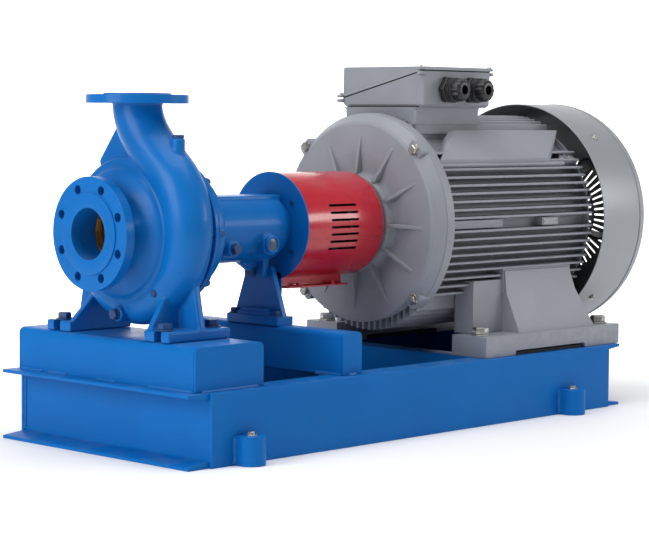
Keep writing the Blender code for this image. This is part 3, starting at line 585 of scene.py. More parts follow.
def moulded(made, tone, rough, grain=900.0, relief=0.00005):
    """Plastic, rubber or ceramic with a fine moulded grain."""
    tree = made.node_tree
    shader = tree.nodes["Principled BSDF"]
    surface = use_group(tree, "Surface Grain", Grain=grain, Waves=25.0, Wave_Share=0.3)
    corner_wear_and_light = use_group(tree, "Corner Wear", Amount=0.25)
    varied = mixed(tree, surface.outputs["Variation"], shaded(tone, 0.8), shaded(tone, 1.3))
    # Outward corners lightened: partly wear, partly a painted highlight
    tree.links.new(mixed(tree, corner_wear_and_light.outputs["Edge"], varied,
                         tuple(0.8 * channel + 0.08 for channel in tone)),
                   shader.inputs["Base Color"])
    tree.links.new(remap(tree, surface.outputs["Variation"], 0.3, 0.7, rough - 0.06, rough + 0.06),
                   shader.inputs["Roughness"])
    bump(tree, shader, surface.outputs["Height"], relief)


def wound(made, tone):
    """Varnished wire wound in close turns."""
    tree = made.node_tree
    shader = tree.nodes["Principled BSDF"]
    coords = tree.nodes.new("ShaderNodeTexCoord")
    wave = tree.nodes.new("ShaderNodeTexWave")
    wave.inputs["Scale"].default_value = 120.0
    wave.inputs["Distortion"].default_value = 1.5
    tree.links.new(coords.outputs["Object"], wave.inputs["Vector"])
    tree.links.new(mixed(tree, wave.outputs["Fac"], shaded(tone, 0.4), tone),
                   shader.inputs["Base Color"])
    shader.inputs["Metallic"].default_value = 0.8
    tree.links.new(remap(tree, wave.outputs["Fac"], 0.0, 1.0, 0.30, 0.5), shader.inputs["Roughness"])
    bump(tree, shader, wave.outputs["Fac"], 0.0003)


def window(made, tone):
    """A clear window with oil behind it."""
    tree = made.node_tree
    shader = tree.nodes["Principled BSDF"]
    level = noise(tree, 60.0, 2.0)
    tree.links.new(mixed(tree, level, shaded(tone, 0.7), tone), shader.inputs["Base Color"])
    shader.inputs["Coat Weight"].default_value = 0.2
    tree.links.new(remap(tree, level, 0.0, 1.0, 0.28, 0.36), shader.inputs["Roughness"])


def chosen(name):
    return tuple(getattr(bpy.context.scene.pump_set_colours, name))


# finish: (slot, builder, colour or name of a colour setting, further values)
FINISHES = {
    "cast_blue": ("blue_paint", enamel, "pump_blue", dict(rough=0.34, grain=420.0, relief=0.00028,
                                                          coat=0.08, gloss=0.15)),
    "machined_blue": ("blue_paint", enamel, "pump_blue", dict(rough=0.30, grain=900.0,
                                                              relief=0.00006, coat=0.08, gloss=0.15)),
    "plate_blue": ("blue_paint", enamel, "pump_blue", dict(rough=0.36, grain=700.0,
                                                           relief=0.00012, edge_wear_and_highlight=0.0, dust=0.10,
                                                           waves=7.0, gloss=0.1)),
    "bead_blue": ("blue_paint", enamel, "pump_blue", dict(rough=0.32, grain=600.0,
                                                          relief=0.0003)),
    "fastener_blue": ("blue_fastener", enamel, "fastener_blue",
                      dict(rough=0.42, grain=900.0, relief=0.0001, edge_wear_and_highlight=0.3)),
    "guard_red": ("red_guard", enamel, "guard_red", dict(rough=0.26, grain=1200.0,
                                                         relief=0.00003, coat=0.6, edge_wear_and_highlight=0.2,
                                                         waves=9.0)),
    "cast_grey": ("motor_grey", enamel, "motor_grey", dict(rough=0.46, grain=520.0,
                                                           relief=0.00022, edge_wear_and_highlight=0.35)),
    "smooth_grey": ("motor_grey", enamel, "motor_grey", dict(rough=0.42, grain=1000.0,
                                                             relief=0.00006, edge_wear_and_highlight=0.35)),
    "cowl_grey": ("cowl_grey", enamel, "cowl_grey", dict(rough=0.36, grain=1300.0,
                                                         relief=0.00004, coat=0.15, edge_wear_and_highlight=0.3)),
    "zinc": ("zinc_fastener", bare_metal, "plating", dict(rough=0.32, stretch=(1, 1, 1))),
    "steel": ("machined_steel", bare_metal, (0.52, 0.52, 0.53), dict(rough=0.24,
                                                                     stretch=(14, 1, 1))),
    "iron": ("bare_iron", bare_metal, (0.17, 0.165, 0.16), dict(rough=0.55, stretch=(1, 1, 1),
                                                                relief=0.0002)),
    "bronze": ("bronze", bare_metal, (0.15, 0.095, 0.045), dict(rough=0.34, stretch=(2, 1, 1),
                                                              relief=0.0001)),
    "copper": ("wound_copper", wound, (0.55, 0.24, 0.09), {}),
    "black": ("black_plastic", moulded, (0.013, 0.013, 0.015), dict(rough=0.36)),
    "rubber": ("rubber", moulded, (0.024, 0.024, 0.026), dict(rough=0.75, grain=500.0)),
    "ceramic": ("seal_ceramic", moulded, (0.70, 0.68, 0.62), dict(rough=0.22)),
    "glass": ("sight_glass", window, (0.05, 0.075, 0.12), {}),
}


def material(finish):
    """The material of a finish, built on its first use."""
    made = bpy.data.materials.get(finish)
    if made:
        return made
    made = bpy.data.materials.new(finish)
    made.use_nodes = True
    _, build, tone, values = FINISHES[finish]
    build(made, chosen(tone) if isinstance(tone, str) else tone, **values)
    return made


# ---- base -----------------------------------------------------------------------
def channel_outline(web, back, tip, height, toe=6.5, root=12.0):
    """Section of a rolled channel: web face, web back, flange tip; low to high."""
    return rounded([(back, 0, 1.2), (back, height, 1.2), (tip, height, 1.2),
                    (tip, height - toe, 3.5), (web, height - root, 8.0), (web, root, 8.0),
                    (tip, toe, 3.5), (tip, 0, 1.2)], 1.0)


def build_rails():
    for name, side in (("near", -1), ("far", 1)):
        bm = bmesh.new()
        outer, inner = side * RAIL_OUTER, side * (RAIL_OUTER - 7)
        tip = side * (RAIL_OUTER - 60)
        outline = channel_outline(inner, outer, tip, BASE_HEIGHT)
        add_prism(bm, outline, "x", RAIL[0].x, RAIL[1].x)
        rail = drawn(bm, "rail")
        copes = bmesh.new()
        low_y, high_y = sorted((inner, tip - side * 5))
        for low, high in ((RAIL[0].x - 5, RAIL[0].x + 13), (RAIL[1].x - 13, RAIL[1].x + 5)):
            for floor, top in ((-5, 15), (BASE_HEIGHT - 15, BASE_HEIGHT + 5)):
                add_block(copes, (low, low_y, floor), (high, high_y, top))
        cut(rail, copes)
        piece("side_rail_" + name, rail, "plate_blue", replaces=["base_side_rail_" + name],
              break_edge=0.8)
        for place, x in zip(("front", "rear"), SLEEVE_X):
            bm = bmesh.new()
            nose = [(x + SLEEVE_RADIUS * cos(pi * k / 24),
                     side * (SLEEVE_Y + SLEEVE_RADIUS * sin(pi * k / 24))) for k in range(25)]
            outline = nose + [(x - SLEEVE_RADIUS, side * (RAIL_OUTER - 3)),
                              (x + SLEEVE_RADIUS, side * (RAIL_OUTER - 3))]
            add_plate(bm, outline, [circle(x, side * SLEEVE_Y, 10.5, 24)], "z", 0.0, 56.0)
            piece(f"anchor_sleeve_{place}_{name}", bm, "plate_blue", break_edge=1.6)


def build_sleeve_details():
    bolts, beads = bmesh.new(), bmesh.new()
    radius = details().bead_radius / MM
    for side in (-1, 1):
        for x in SLEEVE_X:
            add_hex(bolts, (x, side * SLEEVE_Y, 55.5), (0, 0, 1), 13, 5, washer=11.5)
            for edge in (-1, 1):
                foot = (x + edge * SLEEVE_RADIUS, side * RAIL_OUTER)
                add_bead(beads, (*foot, 2), (*foot, 55), radius)
    piece("anchor_bolts", bolts, "zinc")
    piece("anchor_sleeve_welds", beads, "bead_blue")


def build_end_channels():
    half = RAIL_OUTER - 7.3
    for name, low, high, facing in (("front", FRONT_CHANNEL[0].x, FRONT_CHANNEL[1].x, 1),
                                    ("rear", REAR_CHANNEL[0].x, REAR_CHANNEL[1].x, -1)):
        tip, back = (low, high) if facing == 1 else (high, low)
        outline = channel_outline(back - facing * 7, back, tip, BASE_HEIGHT)
        bm = bmesh.new()
        add_prism(bm, outline, "y", -half, half)
        piece("end_channel_" + name, bm, "plate_blue", replaces=["base_end_channel_" + name],
              break_edge=1.0)
    bm = bmesh.new()
    outline = channel_outline(CROSS[0].x + 7, CROSS[0].x, CROSS[1].x, BASE_HEIGHT)
    add_prism(bm, outline, "y", CROSS[0].y, CROSS[1].y)
    piece("cross_member", bm, "plate_blue", replaces=["base_cross_member"], break_edge=0.8)


def build_base_welds():
    bm = bmesh.new()
    radius = details().bead_radius / MM
    reach = RAIL_OUTER - 9
    for side in (-1, 1):
        for x in (RAIL[0].x + 5, RAIL[1].x - 5):
            add_bead(bm, (x, side * (RAIL_OUTER - 7.5), 13), (x, side * (RAIL_OUTER - 7.5), 127),
                     radius)
        for box in (PUMP_PEDESTAL, BRACKET_PEDESTAL):
            for x in (box[0].x, box[1].x):
                add_bead(bm, (x, side * (reach - 90), BASE_HEIGHT + 1),
                         (x, side * (reach - 20), BASE_HEIGHT + 1), radius)
            add_bead(bm, (box[0].x + 15, side * box[1].y, BASE_HEIGHT + 1),
                     (box[1].x - 15, side * box[1].y, BASE_HEIGHT + 1), radius)
    for start in (-190, -40, 110):
        add_bead(bm, (PUMP_PEDESTAL[0].x, start, BASE_HEIGHT + 1),
                 (PUMP_PEDESTAL[0].x, start + 60, BASE_HEIGHT + 1), radius)
    piece("base_welds", bm, "bead_blue")


def build_pedestals():
    for name, box, fold in (("pump_pedestal", PUMP_PEDESTAL, 14.0),
                            ("bracket_pedestal", BRACKET_PEDESTAL, 12.0)):
        low, high = box[0].x, box[1].x
        floor, top, sheet = box[0].z, box[1].z, 8.0
        wrap = [(low, floor), (low, top, fold), (high, top, fold), (high, floor)]
        lining = [(high - sheet, floor), (high - sheet, top - sheet, fold - sheet),
                  (low + sheet, top - sheet, fold - sheet), (low + sheet, floor)]
        bm = bmesh.new()
        add_prism(bm, rounded(wrap + lining, 0.0, steps=6), "y", box[0].y + 6, box[1].y - 6)
        piece(name + "_folded", bm, "plate_blue", replaces=[name])
        bm = bmesh.new()
        for side in (-1, 1):
            edge = side * box[1].y
            add_prism(bm, rounded(wrap, 0.0, steps=6), "y", *sorted((edge, edge - side * 6)))
        piece(name + "_end_plates", bm, "plate_blue", break_edge=1.2)


# ---- pump casing ------------------------------------------------------------------
def scroll_rings(shrink, start, sides, steps):
    """Sections of the scroll and its neck, up to the discharge flange."""
    rings = []

    def ring(centre, outward, half_wide, half_tall):
        rings.append([centre + Vector((half_wide * cos(tau * k / sides), 0, 0))
                      + outward * (half_tall * sin(tau * k / sides)) for k in range(sides)])

    for step in range(steps):
        angle = start + (SCROLL_END - start) * step / (steps - 1)
        grown = (angle - SCROLL_START) / (SCROLL_END - SCROLL_START)
        outward = Vector((0.0, sin(angle), cos(angle)))
        ring(on_circle(DISCHARGE_X, 126.0 + 26.0 * grown, angle), outward,
             36.0 + 12.0 * grown - shrink, 32.0 + 17.0 * grown - shrink)
    begin = on_circle(DISCHARGE_X, 152.0, SCROLL_END)
    leaving = Vector((0.0, cos(SCROLL_END), -sin(SCROLL_END)))
    points = [begin, begin + leaving * 45.0, Vector((DISCHARGE_X, 0.0, AXIS_Z + 185.0)),
              Vector((DISCHARGE_X, 0.0, AXIS_Z + 252.0))]
    bends = max(6, steps // 3)
    for step in range(1, bends + 1):
        t = step / bends
        weights = ((1 - t) ** 3, 3 * t * (1 - t) ** 2, 3 * t * t * (1 - t), t ** 3)
        slopes = (-(1 - t) ** 2, (1 - t) * (1 - 3 * t), t * (2 - 3 * t), t * t)
        centre = sum((p * w for p, w in zip(points, weights)), Vector())
        along = sum((p * s for p, s in zip(points, slopes)), Vector()).normalized()
        ring(centre, Vector((0.0, -along.z, along.y)), 48.0 - shrink, 49.0 - shrink)
    if shrink:
        ring(Vector((DISCHARGE_X, 0.0, DISCHARGE_TOP + 10)), Vector((0.0, -1.0, 0.0)), 40.0, 40.0)
    return rings


def add_casing_leg(bm, side):
    """One foot of the casing: pad, cross plate and the rib inside it."""
    inner, outer = 110.0, 182.0
    floor = PEDESTAL_TOP + 0.3
    pad_top = floor + 21.0
    low, high = sorted((side * inner, side * outer))
    add_block(bm, (45, low, floor), (205, high, pad_top))
    add_prism(bm, [(side * (inner + 2), pad_top - 4), (side * (outer - 1), pad_top - 4),
                   (side * 160, 350), (side * 118, 350)], "x", 125, 141)
    front = 96 if side == -1 else 132
    add_prism(bm, [(50, pad_top - 4), (200, pad_top - 4), (160, 320), (front, 320)], "y",
              *sorted((side * inner, side * (inner + 13))))


def build_casing():
    bm = bmesh.new()
    add_turned(bm, rounded([(10, 0), (10, 66), (31, 66, 8), (47, 78, 14), (62, 104, 14),
                            (71, 119, 10), (75, 124, 2), (79, 125, 2), (80, 130, 2), (84, 131, 2),
                            (84, 143, 3), (90, 146, 3), (97, 139, 8), (148, 139, 8),
                            (158, 149, 3), (177.5, 149, 2), (177.5, 0)], 4, closed=False))
    add_skin(bm, scroll_rings(0.0, SCROLL_START, 40, 60))
    flange_low = DISCHARGE_TOP - 20.0
    add_turned(bm, [(0, 0), (0, 84), (12, 84), (12, 0)], (DISCHARGE_X, 0, flange_low + 1), (0, 0, 1))
    add_prism(bm, [(0, AXIS_Z + 120), (0, AXIS_Z + 235), (47, AXIS_Z + 215), (108, AXIS_Z + 137),
                   (95, AXIS_Z + 95)], "x", DISCHARGE_X - 6.5, DISCHARGE_X + 6.5)
    add_rod(bm, (DISCHARGE_X, -118, AXIS_Z + 110), (0, 0, 1), 13.5, 74, 32)
    add_rod(bm, (104, 0, AXIS_Z - 158), (-1, 0, 0), 15.5, 33, 32)
    add_rod(bm, (104, -98, AXIS_Z - 112), (-1, 0, 0), 11, 20, 32)
    add_casing_leg(bm, -1)
    add_casing_leg(bm, 1)
    body = cast(bm)
    water = bmesh.new()
    add_turned(water, [(-5, 0), (-5, 50.5), (60, 50.5), (66, 63), (88, 63), (90, 129.5), (165, 129.5),
                       (165, 132.5), (185, 132.5), (185, 0)], sides=96)
    cut(body, water, "MANIFOLD")
    way_out = bmesh.new()
    add_skin(way_out, scroll_rings(8.0, SCROLL_START + radians(14), 32, 40))
    cut(body, way_out, "MANIFOLD")
    slots = bmesh.new()
    for side in (-1, 1):
        for x, mouth in ((65.0, 30.0), (185.0, 220.0)):
            away = -1 if mouth > x else 1
            points = [(x + away * 10 * sin(pi * k / 12), side * FOOT_BOLT_Y + 10 * cos(pi * k / 12))
                      for k in range(13)]
            outline = points + [(mouth, side * FOOT_BOLT_Y - 10),
                                (mouth, side * FOOT_BOLT_Y + 10)]
            add_prism(slots, outline, "z", PEDESTAL_TOP - 5, PEDESTAL_TOP + 40)
    cut(body, slots, "MANIFOLD")
    soles = bmesh.new()
    add_block(soles, (20, -260, PEDESTAL_TOP - 30), (230, 260, PEDESTAL_TOP + 0.4))
    cut(body, soles, "MANIFOLD")
    piece("volute_casting", body, "cast_blue", replaces=["volute_casing"], angle=46.0)


def add_flange(bm, base, direction, bore, outer, pitch, raised, thick, lift):
    """A line flange with eight bolt holes that straddle its centrelines, and a raised face."""
    base, direction = Vector(base), Vector(direction)
    plate = bmesh.new()
    holes = [circle(pitch * cos(a), pitch * sin(a), 9.0, 28) for a in around(8, radians(22.5))]
    add_plate(plate, circle(0, 0, outer, 128), holes + [circle(0, 0, bore, 96)], "z", lift, thick)
    turn = direction.to_track_quat("Z", "Y").to_matrix().to_4x4()
    plate.transform(Matrix.Translation(base) @ turn)
    mesh = bpy.data.meshes.new("flange")
    plate.to_mesh(mesh)
    plate.free()
    bm.from_mesh(mesh)
    bpy.data.meshes.remove(mesh)
    add_turned(bm, rounded([(0, bore), (0, raised), (lift + 0.5, raised + 0.4), (lift + 0.5, bore)],
                           0.6), base, direction, 128, ring=True)


def build_flanges():
    bm = bmesh.new()
    add_flange(bm, (0, 0, AXIS_Z), (1, 0, 0), 50.0, 110.0, 90.0, 79.0, 24.0, 3.0)
    piece("suction_flange", bm, "machined_blue", break_edge=1.2)
    bm = bmesh.new()
    add_flange(bm, (DISCHARGE_X, 0, DISCHARGE_TOP), (0, 0, -1), 40.0, 100.0, 80.0, 66.0, 20.0, 3.0)
    piece("discharge_flange", bm, "machined_blue", break_edge=1.2)


def build_casing_fittings():
    bm = bmesh.new()
    add_hex(bm, (70.5, 0, AXIS_Z - 158), (-1, 0, 0), 19, 8, washer=12)
    piece("drain_plug", bm, "fastener_blue", replaces=["casing_drain_plug"])
    bm = bmesh.new()
    add_hex(bm, (84, -98, AXIS_Z - 112), (-1, 0, 0), 14, 6)
    piece("casing_side_plug", bm, "fastener_blue")
    bm = bmesh.new()
    top = AXIS_Z + 184.0
    add_turned(bm, [(0, 0), (0, 11.5), (1, 12), (5, 12), (6.5, 10.5), (6.5, 5.5), (2.5, 5), (2.5, 0)],
               (DISCHARGE_X, -118, top), (0, 0, 1), 32)
    piece("gauge_plug", bm, "fastener_blue")
    bm = bmesh.new()
    places = [f"{row}_{place}" for row in ("front", "rear") for place in ("near", "far")]
    for side in (-1, 1):
        for x in (65.0, 185.0):
            add_hex(bm, (x, side * FOOT_BOLT_Y, PEDESTAL_TOP + 21.3), (0, 0, 1), 24, 12, washer=17,
                    turn=0.3 * side)
            add_rod(bm, (x, side * FOOT_BOLT_Y, PEDESTAL_TOP - 14), (0, 0, 1), 8, 38)
    piece("casing_foot_bolts", bm, "fastener_blue",
          replaces=["casing_foot_bolt_" + place for place in places])


def build_cover():
    bm = bmesh.new()
    back = COVER[1].x
    add_turned(bm, rounded([(176, 34), (176, 131), (196.2, 131), (196.5, 109), (back - 1, 109, 1.5),
                            (back - 1, 34)], 0.8), ring=True)
    piece("cover_plate", bm, "machined_blue", replaces=["casing_cover"])
    nuts = bmesh.new()
    for angle in around(8, radians(-90)):
        add_hex(nuts, on_circle(177.6, COVER_STUD_RADIUS, angle), (1, 0, 0), 15, 9, stud=5, turn=angle)
        add_rod(nuts, on_circle(186, COVER_STUD_RADIUS, angle), (1, 0, 0), 4.5, 14, 16)
    piece("cover_nuts", nuts, "fastener_blue")


# ---- bearing bracket ----------------------------------------------------------------
def build_bracket():
    face, end = BRACKET[0].x, BRACKET[1].x
    bm = bmesh.new()
    add_turned(bm, rounded([(face + 13, 0), (face + 13, 126), (face + 16, 126, 2),
                            (end - 255, 121, 8), (end - 243, 78, 14), (end - 232, 72, 6),
                            (end - 35, 71, 4), (end - 30, 60, 4), (end - 1, 60), (end - 1, 0)], 3,
                           closed=False))
    add_prism(bm, rounded([(-42, AXIS_Z + 40), (-42, AXIS_Z + 66), (42, AXIS_Z + 66),
                           (42, AXIS_Z + 40)], 1.5), "x", end - 251, end - 29)
    add_rod(bm, (412, -40, AXIS_Z - 32), (0, -1, 0), 22, 41, 40)
    add_rod(bm, (314, -40, AXIS_Z - 38), (0, -1, 0), 17, 37, 40)
    add_prism(bm, [(-34, AXIS_Z - 50), (34, AXIS_Z - 50), (26, AXIS_Z - 104), (-26, AXIS_Z - 104)],
              "x", 439, 456)
    add_prism(bm, [(370, AXIS_Z - 58), (445, AXIS_Z - 58), (445, AXIS_Z - 102)], "y", -8, 8)
    body = cast(bm, finer=0.85, blend=7)
    holes = bmesh.new()
    add_rod(holes, (425, 0, AXIS_Z - 90), (1, 0, 0), 7.5, 50, 32)
    add_block(holes, (end - 246, -60, AXIS_Z + 66), (end - 28, 60, AXIS_Z + 90))
    cut(body, holes, "MANIFOLD")
    piece("bracket_casting", body, "cast_blue", replaces=["bearing_bracket"], angle=46.0)
    bm = bmesh.new()
    lobes = []
    for step in range(160):
        angle = tau * step / 160
        radius = 148.0 - 9.0 * (0.5 - 0.5 * cos(8 * angle)) ** 3
        lobes.append((radius * cos(angle), AXIS_Z + radius * sin(angle)))
    add_prism(bm, lobes, "x", face + 9, face + 15)
    flange = drawn(bm, "flange")
    bm = bmesh.new()
    add_turned(bm, [(face, 100), (face, 148), (face + 9.2, 148), (face + 9.2, 100)], ring=True)
    piece("bracket_flange", bm, "machined_blue", break_edge=1.5)
    piece("bracket_flange_lobes", flange, "machined_blue", break_edge=1.5)
    nuts = bmesh.new()
    for angle in around(8, radians(-90)):
        add_hex(nuts, on_circle(face + 14.8, COVER_STUD_RADIUS, angle), (1, 0, 0), 15, 9, stud=5,
                turn=angle)
    piece("bracket_nuts", nuts, "fastener_blue")


def build_bracket_fittings():
    bm = bmesh.new()
    face = BRACKET[1].x
    add_turned(bm, rounded([(face - 1, 22), (face - 1, 58, 2), (face + 8, 58, 3), (face + 10, 42, 3),
                            (face + 16.5, 38, 3), (face + 16.5, 22)], 0.8), ring=True)
    for angle in around(6, radians(30)):
        add_hex(bm, on_circle(face + 7.5, 51, angle), (1, 0, 0), 10, 5, turn=angle)
    piece("end_cover", bm, "machined_blue", replaces=["bearing_cover"])
    centre = (GLASS[0] + GLASS[1]) / 2
    bm = bmesh.new()
    add_turned(bm, rounded([(0, 10), (0, 18.5), (6, 18.5, 2), (8, 14, 1.5), (4, 12), (4, 10)], 0.4),
               (centre.x, -81, centre.z), (0, -1, 0), 48, ring=True)
    piece("sight_glass_bezel", bm, "machined_blue")
    bm = bmesh.new()
    add_turned(bm, [(0, 0), (0, 12.5), (4.5, 12.5), (5.5, 8), (6, 0)], (centre.x, -81, centre.z),
               (0, -1, 0), 48)
    piece("sight_glass_window", bm, "glass", replaces=["oil_sight_glass"])
    plug = (OIL_PLUG[0] + OIL_PLUG[1]) / 2
    bm = bmesh.new()
    add_hex(bm, (plug.x, -77, plug.z), (0, -1, 0), 19, 8, washer=12)
    piece("oil_plug", bm, "fastener_blue", replaces=["oil_drain_plug"])


def build_support_foot():
    floor = FOOT[0].z
    low, high, half = FOOT[0].x, FOOT[1].x, FOOT[1].y
    bolt_x, bolt_y = low + 12.0, half - 14.0
    bm = bmesh.new()
    holes = [circle(bolt_x, side * bolt_y, 8, 24) for side in (-1, 1)]
    add_plate(bm, rounded([(low, -half), (high, -half), (high, half), (low, half)], 5), holes, "z",
              floor, floor + 17)
    add_block(bm, (low + 4, -47, floor + 13), (high - 4, 47, floor + 24))
    add_block(bm, (low + 8, -40, floor + 20), (high - 8, 40, floor + 31))
    hole = circle(0.0, AXIS_Z - 90, 7.5, 24)
    add_plate(bm, rounded([(-72, floor + 14), (72, floor + 14), (34, AXIS_Z - 79, 8),
                           (-34, AXIS_Z - 79, 8)], 0.5), [hole], "x", low + 21.5, low + 33)
    for side in (-1, 1):
        add_prism(bm, [(low + 30, floor + 28), (high - 8, floor + 28), (low + 30, floor + 62)],
                  "y", *sorted((side * 30, side * 36)))
    piece("bracket_foot", bm, "cast_blue", replaces=["support_foot"], break_edge=1.6)
    bolts = bmesh.new()
    for side in (-1, 1):
        add_hex(bolts, (bolt_x, side * bolt_y, floor + 17), (0, 0, 1), 17, 9, washer=12)
        add_rod(bolts, (bolt_x, side * bolt_y, floor - 20), (0, 0, 1), 6.5, 40)
    lug = (0, AXIS_Z - 90)
    add_hex(bolts, (438.5, *lug), (-1, 0, 0), 19, 8, washer=13, turn=0.2)
    add_hex(bolts, (low + 33, *lug), (1, 0, 0), 19, 8, washer=13, stud=5)
    piece("bracket_foot_bolts", bolts, "fastener_blue")


# ---- coupling guard --------------------------------------------------------------------
def build_guard():
    front = GUARD[0].x
    bm = bmesh.new()
    add_turned(bm, rounded([(front - 3.2, 59.5), (front - 3.2, 112.5), (front - 0.2, 112.5),
                            (front - 0.2, 59.5)], 0.7), ring=True)
    add_prism(bm, rounded([(-34, AXIS_Z - 142), (34, AXIS_Z - 142), (34, AXIS_Z - 96),
                           (-34, AXIS_Z - 96)], 3), "x", front - 3.2, front - 0.2)
    piece("guard_disc", bm, "machined_blue", replaces=["guard_end_plate"])
    screws = bmesh.new()
    for angle in (radians(-52), radians(-128), radians(52), radians(128)):
        add_hex(screws, on_circle(front - 3.2, 82, angle), (-1, 0, 0), 10, 2.5)
    piece("guard_screws", screws, "fastener_blue")
    back = GUARD[1].x
    r = GUARD_RADIUS
    bm = bmesh.new()
    add_turned(bm, rounded([(front, r - 3), (front, r, 1), (back - 17, r, 14), (back - 4, r - 8, 9),
                            (back, r - 20, 6), (back, r - 31, 1), (back - 3, r - 31, 1),
                            (back - 3, r - 21, 4), (back - 7, r - 11, 7), (back - 18, r - 3, 10)],
                           1.0, steps=6), ring=True)
    shell = drawn(bm, "guard")
    slots = bmesh.new()
    for row in range(7):
        z = AXIS_Z + 44.0 - 15.0 * row
        for side in (-1, 1):
            outline = rounded([(558, z - 2.6), (641, z - 2.6), (641, z + 2.6), (558, z + 2.6)], 2.4)
            add_prism(slots, outline, "y", *sorted((side * 60, side * 130)))
    for side in (-1, 1):
        z = AXIS_Z - 23.7
        add_block(slots, (front - 5, min(side * (r - 1.2) * 0.972, side * 130), z - 0.45),
                  (back - 18, max(side * (r - 1.2) * 0.972, side * 130), z + 0.45))
    cut(shell, slots)
    piece("guard_shell", shell, "guard_red", replaces=["coupling_guard"], angle=30.0)
    bm = bmesh.new()
    for side in (-1, 1):
        outline = rounded([(side * 27, AXIS_Z - 104), (side * 30, AXIS_Z - 104),
                           (side * 30, AXIS_Z - 125, 3), (side * 52, AXIS_Z - 125),
                           (side * 52, AXIS_Z - 128), (side * 27, AXIS_Z - 128, 3)], 0.6)
        add_prism(bm, outline, "x", front, front + 180)
    piece("guard_skirts", bm, "guard_red", break_edge=0.5)
    bm = bmesh.new()
    for side in (-1, 1):
        for x in (front + 40, front + 140):
            add_hex(bm, (x, side * 42, AXIS_Z - 125), (0, 0, 1), 10, 5, washer=8)
    piece("guard_skirt_bolts", bm, "guard_red")


# ---- motor -----------------------------------------------------------------------------------
def add_fin(bm, start, end, root, tip, offset, across):
    """One tapered fin with a round tip; across puts (outward, sideways) in place."""
    outline = rounded([(root, offset - 3.5), (tip, offset - 2.6, 2.2), (tip, offset + 2.6, 2.2),
                       (root, offset + 3.5)], 0.3)
    place = PLACES["x"]
    add_skin(bm, [[place(*across(out, side), level) for out, side in outline]
                  for level in (start, end)])


def fin_offsets(reach, gap):
    """Fin positions either side of the middle; gap is half the space left there."""
    pitch = details().fin_pitch / MM
    offsets, offset = [], gap
    while offset <= reach:
        offsets += [offset, -offset]
        offset += pitch
    return offsets


def build_frame():
    start, end = MOTOR[0].x, MOTOR[1].x
    bm = bmesh.new()
    add_turned(bm, [(start + 20, 187), (start + 20, BARREL_RADIUS), (end, BARREL_RADIUS),
                    (end, 187)], ring=True)
    for offset in fin_offsets(151, 14.5):
        tip = sqrt(FIN_TIP_RADIUS ** 2 - offset ** 2)
        root = sqrt(BARREL_RADIUS ** 2 - offset ** 2) - 8
        for side in (-1, 1):
            add_fin(bm, start + 22, end, root, tip, offset,
                    lambda out, z, side=side: (side * out, AXIS_Z + z))
    for offset in fin_offsets(104, 8.5):
        tip = sqrt(FIN_TIP_RADIUS ** 2 - offset ** 2)
        root = sqrt(BARREL_RADIUS ** 2 - offset ** 2) - 8
        add_fin(bm, start + 22, end, root, tip, offset, lambda out, y: (y, AXIS_Z + out))
    for offset in fin_offsets(150, 8.5):
        tip = sqrt(RING_RADIUS ** 2 - offset ** 2)
        root = sqrt(BARREL_RADIUS ** 2 - offset ** 2) - 8
        add_fin(bm, start + 4, end, root, tip, offset, lambda out, y: (y, AXIS_Z - out))
    piece("frame_fins", bm, "cast_grey", replaces=["motor_frame"], break_edge=0.7)


def corner_point(side, x, out, along):
    """A point over an upper corner: out from the axis at 45 degrees, along up the slope."""
    lean = radians(46.0)
    y = out * cos(lean) - along * sin(lean)
    z = out * sin(lean) + along * cos(lean)
    return Vector((x, side * y, AXIS_Z + z))


def add_bottom_sector(bm, inner, low, high):
    """A thick arc under the shaft axis, which cuts a rim open there."""
    angles = [radians(137.0 + 86.0 * k / 24) for k in range(25)]
    arc = [(inner * sin(angle), AXIS_Z + inner * cos(angle)) for angle in angles]
    arc += [(280 * sin(angle), AXIS_Z + 280 * cos(angle)) for angle in reversed(angles)]
    add_prism(bm, arc, "x", low, high)


def build_frame_bosses():
    start, end = MOTOR[0].x, MOTOR[1].x
    bm = bmesh.new()
    add_turned(bm, rounded([(start, 182), (start, RING_RADIUS, 2), (start + 24, RING_RADIUS, 3),
                            (start + 30, 215, 6), (start + 30, 182)], 1.0), ring=True)
    rim = drawn(bm, "rim")
    bm = bmesh.new()
    add_bottom_sector(bm, 205.0, start - 5, start + 35)
    cut(rim, bm)
    piece("frame_ring", rim, "cast_grey", break_edge=0.8)
    bm = bmesh.new()
    for side in (-1, 1):
        face = [(start + 24, -45), (end - 120, -45), (end - 4, 45), (start + 138, 45)]
        foot = [(start + 20, -49), (end - 110, -49), (end + 0, 47), (start + 128, 47)]
        add_skin(bm, [[corner_point(side, x, 196, along) for x, along in foot],
                      [corner_point(side, x, 230, along) for x, along in foot],
                      [corner_point(side, x, 235.5, along) for x, along in face]])
        ledge = [(start + 22, -56), (end - 60, -56), (end - 60, -47), (start + 22, -47)]
        add_skin(bm, [[corner_point(side, x, out, along) for x, along in ledge]
                      for out in (190, 229)])
        lug = [(end - 66, -44), (end - 2, -44), (end - 2, -10), (end - 40, -10)]
        add_skin(bm, [[corner_point(side, x, out, along) for x, along in lug]
                      for out in (196, 224)])
    add_block(bm, (start + 46, -101, AXIS_Z + 190), (start + 252, 101, NECK[0].z - 0.3))
    piece("frame_corner_pads", bm, "smooth_grey", break_edge=2.2)
    bm = bmesh.new()
    for side in (-1, 1):
        base = corner_point(side, end - 30, 223.5, -27)
        out = corner_point(side, end - 30, 230, -27) - base
        add_turned(bm, [(0, 5.5), (0, 11), (3, 10.5), (3, 5.5)], base, out, 24, ring=True)
    piece("frame_lifting_bosses", bm, "smooth_grey")


